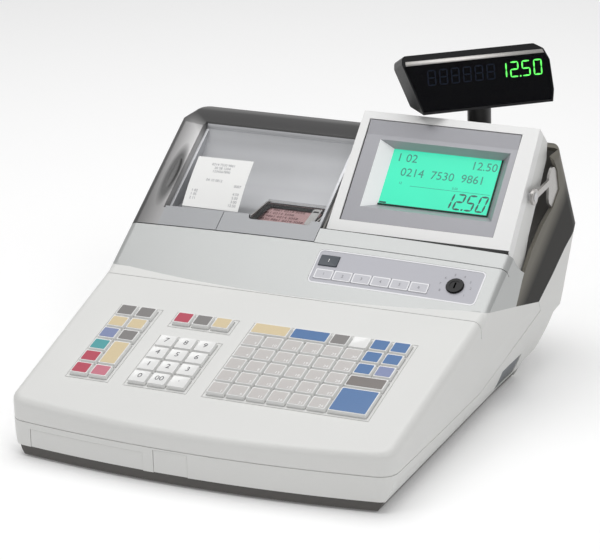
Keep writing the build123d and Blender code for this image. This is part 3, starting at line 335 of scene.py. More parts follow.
# %% List the finishes
finishes = {
    "case_light": moulded("casing_white", (0.70, 0.70, 0.685)),
    "case_silver": metallic_paint("casing_silver", (0.445, 0.455, 0.45), metallic=0.3),
    "display_white": moulded("display_white", (0.80, 0.80, 0.795), roughness=0.36),
    "bezel": metallic_paint("bezel_grey", (0.36, 0.36, 0.385), metallic=0.25, roughness=0.38),
    "base_tray": moulded("base_dark", (0.085, 0.08, 0.075), roughness=0.5),
    "side_panel": moulded("port_blue_grey", (0.12, 0.13, 0.145), roughness=0.45),
    "panel": moulded("panel_film", (0.42, 0.42, 0.46), roughness=0.36, grain=0.0006),
    "lcd": glowing("lcd_lit", (0.035, 0.80, 0.49), 0.68),
    "head_black": moulded("head_black", (0.006, 0.006, 0.007), roughness=0.24, depth=0.00001,
                          Specular_IOR_Level=0.10),
    "paper": moulded("paper", (0.84, 0.84, 0.83), roughness=0.8, grain=0.0003),
    "feet": moulded("foot_rubber", (0.03, 0.03, 0.03), roughness=0.8),
    "screws": brushed("zinc_plate", (0.55, 0.55, 0.56)),
    "boards": moulded("board_lacquer", (0.05, 0.20, 0.10), roughness=0.3, grain=0.002),
    "supply": brushed("supply_case", (0.62, 0.62, 0.60)),
    "gland": moulded("gland_rubber", (0.03, 0.03, 0.03), roughness=0.7),
    "metal": brushed("bright_metal", (0.72, 0.72, 0.73), roughness=0.25),
    "buttons": moulded("button_film", (0.50, 0.50, 0.535), roughness=0.36, grain=0.0006),
    "dark_button": moulded("dark_film", (0.035, 0.045, 0.06), roughness=0.4),
    "window": clear("journal_glass", (0.02, 0.015, 0.015), 0.14, Specular_IOR_Level=0.3),
    "steel": brushed("chassis_steel", (0.58, 0.59, 0.60), roughness=0.35),
    "cradle": moulded("cradle_black", (0.03, 0.03, 0.032), roughness=0.5),
    "rollers": moulded("platen_rubber", (0.02, 0.02, 0.02), roughness=0.6),
    "head_lens": clear("lens_glass", (0.003, 0.003, 0.004), 0.92, roughness=0.06, Specular_IOR_Level=0.015),
    "vfd": moulded("tube_glass", (0.01, 0.015, 0.015), roughness=0.15),
    "pole": moulded("pole_black", (0.012, 0.012, 0.013), roughness=0.35),
    "key_clear": moulded("key_cap_clear", (0.80, 0.80, 0.79), roughness=0.24, spread=0.015, depth=0.00001,
                         Coat_Weight=0.4, Coat_Roughness=0.1),
    "ink_grey": printed("ink_grey", (0.085, 0.085, 0.095)),
    "ink_white": printed("ink_white", (0.86, 0.86, 0.86)),
    "ink_pale": printed("ink_pale", (0.17, 0.17, 0.19)),
    "lcd_ink": printed("lcd_ink", (0.004, 0.05, 0.045)),
    "lcd_ink_soft": printed("lcd_ink_soft", (0.012, 0.22, 0.16)),
    "figure_lit": glowing("figure_lit", (0.10, 0.95, 0.10), 1.2, size=0.004),
    "figure_off": printed("figure_off", (0.010, 0.014, 0.024), coat=0.0, Specular_IOR_Level=0.02),
    "deep_black": moulded("deep_black", (0.006, 0.006, 0.006), roughness=0.6),
    "receipt_ink": printed("receipt_ink", (0.30, 0.30, 0.32), coat=0.0),
    "journal_paper": moulded("journal_paper", (0.68, 0.44, 0.44), roughness=0.7, grain=0.0003),
    "journal_ink": printed("journal_ink", (0.10, 0.03, 0.04), coat=0.0),
    "plate_silver": metallic_paint("plate_silver", (0.275, 0.28, 0.29), metallic=0.35),
    # nearly white finish of the plate that paints the highlight on the funnel's left wall
    "funnel_painted_highlight": moulded("funnel_painted_highlight", (0.90, 0.91, 0.92), roughness=0.3),
    "silver_strip": metallic_paint("strip_silver", (0.46, 0.445, 0.43), metallic=0.7, roughness=0.3),
    "panel_edge": moulded("panel_edge", (0.78, 0.78, 0.80), roughness=0.36),
    "well_grey": moulded("well_grey", (0.22, 0.212, 0.20), roughness=0.5),
    "gloss_black": moulded("gloss_black", (0.006, 0.006, 0.007), roughness=0.2, depth=0.000005,
                           Specular_IOR_Level=0.2),
}
LABEL_TONES = {"grey": (0.205, 0.195, 0.19), "tan": (0.66, 0.54, 0.33), "teal": (0.06, 0.33, 0.35),
               "red": (0.46, 0.045, 0.085), "lilac": (0.20, 0.24, 0.42), "pink": (0.56, 0.16, 0.22),
               "pale": (0.53, 0.505, 0.49), "blue": (0.055, 0.155, 0.36), "brown": (0.175, 0.155, 0.145)}
for tone, colour in LABEL_TONES.items():
    finishes[f"label_{tone}"] = printed(f"label_{tone}", colour)
print("finishes", len(finishes))

# %% [markdown]
# ## The painted sheen of the arch
# The painted arch over the printer is softly rolled, and its colour carries painted light. Its left leg has
# a painted highlight that grows paler towards the recess and painted shade towards its foot, a painted
# highlight streak runs along the roof, and the finger scoop has painted shade. How far a point lies outside
# the edge of the recess decides how pale the painted highlight is there.

# %% Paint the arch with a painted sheen, a painted streak and painted shade
ARCH_EDGE_X, ARCH_EDGE_Y = -159.0, 141.5
LEG_W, LEG_MITRE = 29.0, 16.0
LEG_FOOT_Y, LEG_FADE = 52.0, 50.0
STREAK_AT, STREAK_HALF = 36.0, 9.0
SCOOP_AT, SCOOP_HALF = (-168.0, 84.0), (8.0, 31.0)
DARKEST, PALEST = 0.72, 6.2
ROOF_HIGHLIGHT, SHADE_FROM, SHADE_FADE = 0.4, 0.45, 0.75
arch = Finish("arch_painted_sheen", (0.080, 0.079, 0.079), 0.32, Metallic=0.45)
east, north = arch.in_drawing(0), arch.in_drawing(1)
beside, behind = ARCH_EDGE_X - east, north - ARCH_EDGE_Y
on_leg = within((beside - behind) / LEG_MITRE)
# painted shade: the leg is darker towards its foot
leg_foot_painted_shade = within((north - LEG_FOOT_Y) / LEG_FADE) * 0.5 + 0.5
# painted highlight: the leg pales towards the edge of the recess
leg_painted_highlight = within(1 - beside / LEG_W) * leg_foot_painted_shade
# painted highlight streak along the roof
off_streak = behind - STREAK_AT
roof_painted_highlight = within(1 - off_streak.math("ABSOLUTE", off_streak, 0.0) / STREAK_HALF) * ROOF_HIGHLIGHT
scoop_x, scoop_y = (east - SCOOP_AT[0]) / SCOOP_HALF[0], (north - SCOOP_AT[1]) / SCOOP_HALF[1]
# painted shade in the finger scoop
shade = within((scoop_x * scoop_x + scoop_y * scoop_y - SHADE_FROM) / SHADE_FADE)
# all of this is painted light, mixed into the base colour
tone = (leg_painted_highlight * on_leg + roof_painted_highlight * (1 - on_leg)) * shade
arch.set("Base Color", arch.shades(within(tone * 0.92 + arch.flakes() * 0.08), DARKEST, PALEST))
finishes["arch"] = arch.material
print("arch tone from", DARKEST, "to", PALEST)

# %% [markdown]
# ## The rear shell
# The two cheeks of the rear shell stand up beside the display, and their front edge is rolled. Where it
# catches the light, the colour carries a painted highlight, and a little painted light comes back further to
# the rear. The distance from that sloping edge, worked out from height and depth, fades the painted
# highlight into the dark side.

# %% Paint the rear shell, with a painted highlight along the front edge of its cheeks
CHEEK_FOOT, CHEEK_RISE = (69.0, 110.0), math.radians(30.8)  # where the edge starts, and its slope
EDGE_W, EDGE_REACH, EDGE_END = 20.0, 1.3, 125.0
REAR_W, REAR_PAINTED_LIGHT = 60.0, 0.12
cheek = Finish("cheek_painted_highlight", (0.026, 0.0245, 0.021), 0.40, Specular_IOR_Level=0.06)
back, above = cheek.in_drawing(1) - CHEEK_FOOT[0], cheek.in_drawing(2) - CHEEK_FOOT[1]
from_edge = back * math.sin(CHEEK_RISE) - above * math.cos(CHEEK_RISE)
# painted highlight along the rolled front edge, faded out before the back
edge_painted_highlight = within(EDGE_REACH - from_edge / EDGE_W) * within((EDGE_END - back) / EDGE_W)
# painted light, a little paler further to the rear
rear_painted_light = within((from_edge - REAR_W) / REAR_W) * REAR_PAINTED_LIGHT
cheek.set("Base Color", cheek.shades(within(edge_painted_highlight + rear_painted_light + cheek.flakes() * 0.05), 0.5, 6.5))
finishes["cheek"] = cheek.material
print("cheek edge", EDGE_W, "mm wide")

# %% [markdown]
# ## The recess
# The silver slope under the arch is curved, and its colour carries a painted highlight well up the slope,
# with painted shade below it. Two ramps on height make that band: one rises to it, and the other falls off
# behind it.

# %% Paint the recess, with a painted highlight well up its slope
PALE_FROM, PALE_TO, PALE_FADE = 156.0, 178.0, 24.0
recess = Finish("recess_painted_highlight", (0.43, 0.435, 0.45), 0.34, Metallic=0.4)
up = recess.in_drawing(2)
# painted light: darker low on the slope, palest at PALE_TO, a little less pale above it
lower = within((up - PALE_FROM) / (PALE_TO - PALE_FROM))
upper = within((up - PALE_TO) / PALE_FADE)
flakes = recess.flakes()
recess.set("Base Color", recess.shades(within(lower - upper * 0.4 + flakes * 0.08), 0.76, 1.2))
recess.set("Normal", recess.bump(flakes, FLAKE_DEPTH))
finishes["recess"] = recess.material
print("recess palest at", PALE_TO)

# %% [markdown]
# ## Dressing the frame
# The record names a material slot for each CAD node, and most nodes wear the finish of that name. A few are
# finer than their slot, so they are listed with a finish of their own, and the keys get the clear cap's.

# %% Give each CAD node its finish
slot_of = {part["node"]: part["material_slot"] for part in frame["record"]["subparts"]}
OWN_FINISH = {"key_barrel": "gloss_black", "key_rotor": "gloss_black", "display_back": "case_light",
              "display_pins": "screws", "display_bracket": "silver_strip", "journal_web": "journal_paper",
              "cover_front_plate": "plate_silver", "cover_arch": "arch", "rear_shell": "cheek",
              "display_well": "well_grey"}
for name, node in frame["nodes"].items():
    node.data.materials.clear()
    node.data.materials.append(finishes.get(OWN_FINISH.get(name, slot_of[name]), finishes["key_clear"]))
floor.data.materials.append(moulded("floor_pale", FLOOR_TONE, roughness=0.7, spread=0.0,
                                    Emission_Color=(1, 1, 1, 1), Emission_Strength=0.12))
print("nodes dressed", len(slot_of))

# %% [markdown]
# ## Modelling by hand, in code
# A background Blender has no mouse, but the same tools work: add a primitive, go into edit mode, select
# faces by where they are or which way they look, inset, extrude or move them, and finish with a bevel. These
# few helpers do the selecting and the tidy-up, so that each piece below reads like a list of the steps.


# %% Helpers to select, shape and place
def only(*things):
    """Deselect all, then select these objects and make the first one active."""
    bpy.ops.object.select_all(action="DESELECT")
    for thing in things:
        thing.select_set(True)
    bpy.context.view_layer.objects.active = things[0]
    return things[0]


def box_of(width, depth, height, top=0.0):
    """A box of these sizes in millimetres, with its top face at the height given, open for more work."""
    made = added(bpy.ops.mesh.primitive_cube_add, size=1)
    made.dimensions = Vector((width, depth, height)) * MM
    made.location = (0, 0, (top - height / 2) * MM)
    bpy.ops.object.transform_apply(location=True, rotation=True, scale=True)
    return made


def pick(thing, wanted, kind="FACE"):
    """Edit mode on a piece, with the faces, edges or corners selected that the test wants."""
    only(thing)
    bpy.ops.object.mode_set(mode="EDIT")
    bpy.ops.mesh.select_mode(type=kind)
    bpy.ops.mesh.select_all(action="DESELECT")
    mesh = bmesh.from_edit_mesh(thing.data)
    mesh.normal_update()
    for item in {"FACE": mesh.faces, "EDGE": mesh.edges, "VERT": mesh.verts}[kind]:
        item.select_set(bool(wanted(item)))
    mesh.select_flush_mode()
    bmesh.update_edit_mesh(thing.data)


def done():
    bpy.ops.object.mode_set(mode="OBJECT")


def pressed_in(plate, rim, depth):
    """Sinks the top of a plate behind a narrow rim."""
    pick(plate, lambda face: face.normal.z > 0.9)
    bpy.ops.mesh.inset(thickness=rim * MM)
    bpy.ops.transform.translate(value=(0, 0, -depth * MM))
    done()
    return plate


def opened(plate, edge):
    """Cuts a plate open into a ring: both faces inset, then bridged through."""
    pick(plate, lambda face: abs(face.normal.z) > 0.9)
    bpy.ops.mesh.inset(thickness=edge * MM)
    bpy.ops.mesh.bridge_edge_loops()
    done()
    return plate


def corners_moved(thing, wanted, *way):
    """Moves the corners that the test wants, by so many millimetres along each axis."""
    pick(thing, wanted, "VERT")
    bpy.ops.transform.translate(value=Vector(way) * MM)
    done()


def between(low, high):
    """The size and the middle of what two corners span."""
    low, high = Vector(low), Vector(high)
    return high - low, (low + high) / 2


def rounded(thing, radius, segments=2, angle=40):
    """Bevels the sharp edges of a piece and smooths what is left."""
    only(thing)
    bevel = thing.modifiers.new("soft edges", "BEVEL")
    bevel.width, bevel.segments, bevel.limit_method = radius * MM, segments, "ANGLE"
    bevel.angle_limit = math.radians(angle)
    bpy.ops.object.modifier_apply(modifier=bevel.name)
    bpy.ops.object.shade_smooth_by_angle(angle=math.radians(35))
    return thing


def corners_rounded(thing, radius, segments=4):
    """Rounds the upright edges only, as on a plate seen from above."""
    pick(thing, lambda edge: abs(edge.verts[0].co.z - edge.verts[1].co.z) > 0.001 * MM, "EDGE")
    bpy.ops.mesh.bevel(offset=radius * MM, segments=segments, affect="EDGES")
    done()
    return thing


def put(model, surface, x=0.0, y=0.0, z=0.0, turn=0.0):
    """A copy of a model with its own mesh, laid on a surface at a place in millimetres."""
    made = model.copy()
    made.data = model.data.copy()
    spot = Matrix.Translation(Vector((x, y, z)) * MM) @ Matrix.Rotation(math.radians(turn), 4, "Z")
    made.data.transform(surface @ spot)
    bpy.context.scene.collection.objects.link(made)
    return made


def piece(name, parts, finish, body, *stands_for):
    """Joins the parts into one named piece, gives it a finish from the list, and lets it ride on a body."""
    made = only(*parts)
    if len(parts) > 1:
        bpy.ops.object.join()
    made.name = made.data.name = name
    made.data.materials.clear()
    made.data.materials.append(finishes[finish])
    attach(made, body)
    if stands_for:
        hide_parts(*stands_for)
    return made


def thrown_away(*models):
    """Deletes models whose copies have been placed."""
    only(*models)
    bpy.ops.object.delete()


def solids_in(node, surface):
    """The solids of a node as (low, high) corners in mm on a surface, top row first, left to right."""
    mesh = bmesh.new()
    mesh.from_mesh(frame["nodes"][node].data)
    bmesh.ops.remove_doubles(mesh, verts=mesh.verts, dist=0.01 * MM)
    inward = surface.inverted()
    found, seen = [], set()
    for start in mesh.verts:
        if start in seen:
            continue
        heap, spots = [start], []
        seen.add(start)
        while heap:
            corner = heap.pop()
            spots.append((inward @ corner.co) / MM)
            for other in (edge.other_vert(corner) for edge in corner.link_edges):
                if other not in seen:
                    seen.add(other)
                    heap.append(other)
        found.append([Vector(end(spot[i] for spot in spots) for i in range(3)) for end in (min, max)])
    mesh.free()
    return sorted(found, key=lambda ends: (-round(ends[0].y, 1), round(ends[0].x, 1)))


print("modelling helpers ready")

# %% [markdown]
# ## Print
# Figures are text objects turned into thin flat meshes. Plain numbers are all that the register carries, and
# each line of them lies a few hundredths of a millimetre proud of its surface, as ink does.


# %% Print figures on a surface
FLAT = Matrix.Identity(4)  # the surface of what is modelled flat and bent later
INK_T = 0.03


def figures(words, size, surface, x, y, z=0.04, align="CENTER"):
    """One line of figures as a thin mesh, laid on a surface at a place in millimetres."""
    line = added(bpy.ops.object.text_add)
    line.data.body = words
    line.data.size = size * MM
    line.data.align_x, line.data.align_y = align, "CENTER"
    line.data.extrude = INK_T * MM
    line.data.resolution_u = 3
    bpy.ops.object.convert(target="MESH")
    line = bpy.context.object
    line.data.transform(surface @ Matrix.Translation(Vector((x, y, z)) * MM))
    return line


print("print ready")

# %% [markdown]
# ## Seven-segment figures
# Both displays show figures made of seven bars. A bar is a flattened six-sided prism, stretched to its
# length: one lies across, one stands, and each figure copies them into the places that its pattern names.

# %% Model one bar and the patterns of the figures
BARS = {"top": (0, 1, 0), "middle": (0, 0, 0), "bottom": (0, -1, 0), "top_left": (-0.5, 0.5, 90),
        "top_right": (0.5, 0.5, 90), "low_left": (-0.5, -0.5, 90), "low_right": (0.5, -0.5, 90)}
LIT_BARS = {"0": "top top_left top_right low_left low_right bottom", "1": "top_right low_right",
            "2": "top top_right middle low_left bottom", "5": "top top_left middle low_right bottom",
            "8": " ".join(BARS)}
BAR_T, BAR_SHARE, FIGURE_SHARE = 0.12, 0.94, 0.62


def segment_bar(length, width):
    """One pointed bar of a figure, lying along x."""
    point = width / math.sqrt(3)
    bar = added(bpy.ops.mesh.primitive_cylinder_add, vertices=6, radius=point * MM, depth=BAR_T * MM)
    for side in (-1, 1):
        corners_moved(bar, lambda c: c.co.x * side > 0.1 * width * MM, side * (length / 2 - point), 0, 0)
    return bar


def seven_segments(words, height, pitch, surface, right, y, z, slant, weight):
    """Figures from seven bars, set from the right end, with the point as a square after its figure."""
    wide, tall = pitch * FIGURE_SHARE, height / 2
    across = segment_bar(wide * BAR_SHARE, height * weight)
    upright = segment_bar(tall * BAR_SHARE, height * weight)
    point = box_of(height * weight, height * weight, BAR_T, top=BAR_T / 2)
    lean = Matrix.Identity(4)
    lean[0][1] = math.tan(math.radians(slant))
    base = surface @ Matrix.Translation(Vector((right, y, z)) * MM) @ lean
    parts, x = [], -wide / 2
    for sign in reversed(words):
        if sign == ".":
            parts.append(put(point, base, x + pitch / 2, -tall))
            continue
        for side, up, turned in (BARS[bar] for bar in LIT_BARS[sign].split()):
            parts.append(put(upright if turned else across, base, x + side * wide, up * tall, turn=turned))
        x -= pitch
    thrown_away(across, upright, point)
    return parts


print("bars in an eight:", len(LIT_BARS["8"].split()))

# %% [markdown]
# ## The key caps
# Each key is a clear cap that clips over a paper label. From above it is a square with a thin bright rim, a
# shallow seat that the label fills, and sides that draft outwards as they go down into the deck. One cap is
# modelled for each size, and the frame's own key solids say where the copies go.

# %% Model a cap and set the caps out
CAP_DRAFT = 0.35  # mm, how much each side leans in
CAP_RIM = 0.8     # clear rim round the label's seat
CAP_SEAT = 0.22   # depth of that seat
CAP_EDGE = 0.3
LABEL_T, LABEL_R, LABEL_PLAY = 0.16, 0.9, 0.4


def key_cap(width, depth, height):
    """A cap with its top at zero: drafted sides, thin rim, shallow seat, softened edges."""
    cap = box_of(width, depth, height)
    pick(cap, lambda face: face.normal.z > 0.9)
    bpy.ops.transform.resize(value=(1 - 2 * CAP_DRAFT / width, 1 - 2 * CAP_DRAFT / depth, 1))
    done()
    return rounded(pressed_in(cap, CAP_RIM, CAP_SEAT), CAP_EDGE, angle=30)


def label_plate(width, depth):
    """The label that shows through a cap: a thin plate with rounded corners."""
    margin = 2 * (CAP_DRAFT + CAP_RIM) + LABEL_PLAY
    plate = box_of(width - margin, depth - margin, LABEL_T, top=LABEL_T - CAP_SEAT)
    return corners_rounded(plate, LABEL_R)


KEY_NODES = ["function_keys", "feed_key", "sign_keys", "keys_7_8_9", "keys_4_5_6", "keys_1_2_3",
             "keys_0_00_point", "wide_keys", "item_keys", "side_keys", "subtotal_key", "total_key"]
cap_models, label_models, spots_of = {}, {}, {}
for node in KEY_NODES:
    spots_of[node] = []
    for low, high in solids_in(node, DECK):
        size, middle = between(low, high)
        key = (round(size.x, 1), round(size.y, 1))
        if key not in cap_models:
            cap_models[key], label_models[key] = key_cap(*size), label_plate(size.x, size.y)
        spots_of[node].append((key, middle.x, middle.y, high.z))
print("cap sizes", list(cap_models), "keys", sum(len(spots) for spots in spots_of.values()))

# %% [markdown]
# ## Setting the caps
# The keys of one node travel together, so their caps are joined into one piece that stands for the node and
# rides on its body.

# %% Place the caps, one piece for each group of keys
for node, spots in spots_of.items():
    caps = [put(cap_models[key], DECK, x, y, top) for key, x, y, top in spots]
    piece(f"caps_{node}", caps, "key_clear", node_body[node], node)
print("caps placed", len(spots_of))

# %% [markdown]
# ## The labels
# The labels give the keyboard its colours: grey, tan, teal and red on the left, pale grey on the wide field
# of item keys, and blue down the right. Labels of one colour in one group of keys are one piece, which rides
# on that group's body.

# %% Lay the labels
LABELS = {
    "function_keys": ["grey", "grey", "tan", "tan", "lilac", "grey", "teal", "red", "red", "pink"],
    "feed_key": ["tan"], "sign_keys": ["red", "grey", "tan"], "wide_keys": ["tan", "blue"],
    "item_keys": ["grey", ""] + ["pale"] * 30, "side_keys": ["blue"] * 5 + ["lilac"],
    "subtotal_key": ["brown"], "total_key": ["blue"]}
for node, tones in LABELS.items():
    plates = {}
    for tone, (key, x, y, top) in zip(tones, spots_of[node]):
        if tone:
            plates.setdefault(tone, []).append(put(label_models[key], DECK, x, y, top))
    for tone, made in plates.items():
        piece(f"labels_{tone}_{node}", made, f"label_{tone}", node_body[node])
thrown_away(*cap_models.values(), *label_models.values())
print("labels laid")

# %% [markdown]
# ## Figures on the keys
# The ten-key block carries large plain figures. The item keys carry small ones in the lower right corner,
# which count up each column from the front row.

# %% Print the key figures
PAD_FIGURES = {"keys_7_8_9": "7 8 9", "keys_4_5_6": "4 5 6", "keys_1_2_3": "1 2 3",
               "keys_0_00_point": "0 00 ."}
PAD_SIZE, PAD_UP, POINT_UP, PAD_Z = 8.6, 0.6, 3.0, 0.06 - CAP_SEAT
ITEM_SIZE, ITEM_AT = 4.6, (6.0, -4.2, -0.02)
ITEM_ROWS, ITEM_COLUMNS = 5, 6
for node, words in PAD_FIGURES.items():
    lines = []
    for word, (key, x, y, top) in zip(words.split(), spots_of[node]):
        up = POINT_UP if word == "." else PAD_UP
        lines.append(figures(word, PAD_SIZE, DECK, x, y + up, top + PAD_Z))
    piece(f"figures_{node}", lines, "ink_grey", node_body[node])
lines = []
for i, (key, x, y, top) in enumerate(spots_of["item_keys"][2:]):
    row, column = divmod(i, ITEM_COLUMNS)
    number = str(column * ITEM_ROWS + ITEM_ROWS - row)
    lines.append(figures(number, ITEM_SIZE, DECK, *(Vector((x, y, top)) + Vector(ITEM_AT)), "RIGHT"))
piece("figures_item_keys", lines, "ink_white", node_body["item_keys"])
print("figures printed", len(PAD_FIGURES) + 1)

# %% [markdown]
# ## The control panel
# The panel is a printed film in a shallow pocket of the silver band, with a pale rim, six film keys, one
# dark key and the mode lock. The band isn't flat but a shallow arch, so these pieces are modelled flat and
# lowered along the arch before they are laid on it, and the long rim is first cut into short lengths.

# %% Follow the arch of the band
BAND_ARCH = 4.5    # mm lower at the shoulder than in the middle
SHOULDER_X = 186.0
PANEL_LOW, PANEL_HIGH = (11.15, 18.15), (171.85, 56.35)
PANEL_SINK = 0.4
FILM_EDGE, FILM_R, BEND_STEP = 1.3, 4.85, 12


def arch_drop(x):
    return -BAND_ARCH * (x / SHOULDER_X) ** 2


def sliced(thing, step):
    """Cuts a long piece across every few millimetres, so that it can bend."""
    reach = [corner.co.x / MM for corner in thing.data.vertices]
    for i in range(1, int((max(reach) - min(reach)) / step)):
        pick(thing, lambda edge: True, "EDGE")
        bpy.ops.mesh.bisect(plane_co=((min(reach) + i * step) * MM, 0, 0), plane_no=(1, 0, 0))
        done()
    return thing


def on_band(model, x, y, z=0.0):
    """A copy of a flat model, bent along the arch and laid on the band."""
    made = put(model, FLAT, x, y, z)
    for corner in made.data.vertices:
        corner.co.z += arch_drop(corner.co.x / MM) * MM
    made.data.transform(BAND)
    return made


def frame_ring(width, depth, height, edge, radius, top=0.0):
    """A flat ring with rounded corners."""
    return opened(corners_rounded(box_of(width, depth, height, top), radius, segments=5), edge)


panel_size, panel_mid = between(PANEL_LOW, PANEL_HIGH)
rim = sliced(frame_ring(*panel_size, 0.5, FILM_EDGE, FILM_R, top=0.3 - PANEL_SINK), BEND_STEP)
piece("panel_rim", [on_band(rim, *panel_mid)], "panel_edge", "casing")
thrown_away(rim)
print("panel", [round(size, 1) for size in panel_size])

# %% [markdown]
# ## The film keys
# Under the film each key is a plate with a raised rim round a sunk field, and the film shows both. One key
# is modelled from the size of the CAD solids and copied to their places, with a field and a plain figure.

# %% Film keys with raised rims
KEY_RIM, KEY_FIELD, KEY_DEEP = 0.8, 0.15, 6.0
CLERK_TOP, CLERK_SIZE, CLERK_INK, FIELD_UP = 0.3, 4.2, 0.28, 0.08
DARK_TOP, DARK_SIZE, DARK_INK = 0.6, 5.0, 0.55


def film_key(width, depth, height, top):
    """A soft film key: rounded plate whose field is pressed in behind a narrow rim."""
    key = corners_rounded(box_of(width, depth, height, top), 0.9)
    return rounded(pressed_in(key, KEY_RIM, KEY_FIELD), 0.12)


clerk_spots = [between(*ends) for ends in solids_in("clerk_keys", BAND)]
size = clerk_spots[0][0]
key = film_key(size.x, size.y, KEY_DEEP, CLERK_TOP)
field = box_of(size.x - 2.6 * KEY_RIM, size.y - 2.6 * KEY_RIM, 0.1, CLERK_TOP - 0.01 - KEY_FIELD)
field = corners_rounded(field, 0.6)
keys = [on_band(key, spot.x, spot.y) for size, spot in clerk_spots]
fields = [on_band(field, spot.x, spot.y, FIELD_UP) for size, spot in clerk_spots]
piece("clerk_key_caps", keys, "panel_edge", "clerk_keys", "clerk_keys")
piece("clerk_key_fields", fields, "buttons", "clerk_keys")
numbers = [figures(str(i + 1), CLERK_SIZE, FLAT, 0, 0) for i in range(len(clerk_spots))]
inked = [on_band(number, spot.x, spot.y, CLERK_INK) for number, (size, spot) in zip(numbers, clerk_spots)]
piece("clerk_key_figures", inked, "ink_pale", "clerk_keys")
size, spot = between(*solids_in("receipt_key", BAND)[0])
dark_key = film_key(size.x, size.y, KEY_DEEP, DARK_TOP)
mark = figures("1", DARK_SIZE, FLAT, 0, 0)
piece("receipt_key_cap", [on_band(dark_key, spot.x, spot.y)], "dark_button", "receipt_key", "receipt_key")
piece("receipt_key_figure", [on_band(mark, spot.x, spot.y, DARK_INK)], "ink_white", "receipt_key")
thrown_away(key, field, dark_key, mark, *numbers)
print("film keys", len(keys) + 1)

# %% [markdown]
# ## The mode lock
# The lock is a black barrel with a turning core. A bevelled collar hides its hole in the film, and small
# plain figures around it number its places.

# %% Collar and figures round the lock
LOCK_RING, LOCK_BORE, LOCK_T, LOCK_UP = 8.3, 7.72, 1.0, 0.2
DIAL_SPREAD, DIAL_SIZE = (14.52, 12.54), 3.5
DIAL_ANGLES = (-42, 0, 32, 68, 105, 142, 176, 210)
lock = between(*solids_in("key_barrel", BAND)[0])[1]
collar = added(bpy.ops.mesh.primitive_cylinder_add, vertices=48, radius=LOCK_RING * MM, depth=LOCK_T * MM)
rounded(opened(collar, LOCK_RING - LOCK_BORE), 0.2)
piece("lock_collar", [on_band(collar, lock.x, lock.y, LOCK_UP)], "gloss_black", "casing")
thrown_away(collar)
dial = []
for i, angle in enumerate(DIAL_ANGLES):
    number = figures(str(i + 1), DIAL_SIZE, FLAT, 0, 0)
    x = lock.x + DIAL_SPREAD[0] * math.cos(math.radians(angle))
    y = lock.y + DIAL_SPREAD[1] * math.sin(math.radians(angle))
    dial.append(on_band(number, x, y, -PANEL_SINK + 0.05))
    thrown_away(number)
piece("lock_figures", dial, "ink_pale", "casing")
print("lock at", round(lock.x, 1), round(lock.y, 1), "figures", len(dial))

# %% [markdown]
# ## The operator's display
# A liquid crystal panel sits at the end of a funnel in the grey bezel. Its upper two lines are small
# figures, a thin rule follows, and the sum stands below in large slanted seven-segment figures. All of it is
# print on the lit panel, so each line is a thin mesh a little in front of the glass.

# %% Set the figures of the display
LCD_LOW, LCD_HIGH = (42.4, 36.7), (150.0, 94.5)
LCD_Z = -10.0
TEXT_SIZE, SMALL_SIZE = 11.6, 3.2
SUM_HEIGHT, SUM_PITCH = 15.0, 10.9
SUM_AT, SUM_LEAN, SUM_WEIGHT = (144.6, 48.6, LCD_Z + 0.08), 10, 0.115
RULE, RULE_AT = (78, 0.35, 0.06), (107.0, 58.8, LCD_Z + 0.08)
DASH, DASH_AT = (6.6, 1.6, 0.06), (46.6, 39.8, LCD_Z + 0.1)
LCD_LINES = (("1 02", TEXT_SIZE, 47.5, 86.2, "LEFT"), ("12.50", TEXT_SIZE, 146.4, 85.8, "RIGHT"),
             ("0214  7530  9861", TEXT_SIZE, 96.3, 71.8, "CENTER"),
             ("12", SMALL_SIZE, 58.0, 60.8, "CENTER"), ("0.50", SMALL_SIZE, 111.5, 61.2, "CENTER"))
lines = [figures(words, size, FACE, x, y, LCD_Z + 0.05, side) for words, size, x, y, side in LCD_LINES]
rule, dash = box_of(*RULE), box_of(*DASH)
lines.append(put(rule, FACE, *RULE_AT))
piece("lcd_small_figures", lines, "lcd_ink_soft", "operator_display")
total = seven_segments("12.50", SUM_HEIGHT, SUM_PITCH, FACE, *SUM_AT, SUM_LEAN, SUM_WEIGHT)
total.append(put(dash, FACE, *DASH_AT))
piece("lcd_sum", total, "lcd_ink", "operator_display")
thrown_away(rule, dash)
print("display lines", len(LCD_LINES) + 1)

# %% [markdown]
# ## Joints of the display
# The bezel panel lies in the white frame with a narrow dark joint all round. Along the right and lower edges
# of the glass two black bars stand for the shadow there: painted shadow. The top of the bezel has a brow: a
# strip that slopes up to the frame.

# %% Dark joint, bars of painted shadow, and brow
BEZEL_LOW, BEZEL_HIGH = (14.5, 13.3), (164.5, 118.0)
BEZEL_Z = -1.5
JOINT_W, SHADOW_BAR_W, SHADOW_BAR_T = 0.7, 1.5, 1.2
BROW_FOOT, BROW_END, BROW_INSET, BROW_RISE = 103.0, 117.2, 0.9, 1.1
bezel_size, bezel_mid = between(BEZEL_LOW, BEZEL_HIGH)
lcd_size, lcd_mid = between(LCD_LOW, LCD_HIGH)
joint = frame_ring(bezel_size.x - 0.1, bezel_size.y - 0.1, 0.3, JOINT_W, 0.3, top=0.2)
piece("bezel_joint", [put(joint, FACE, *bezel_mid, BEZEL_Z)], "deep_black", "operator_display")
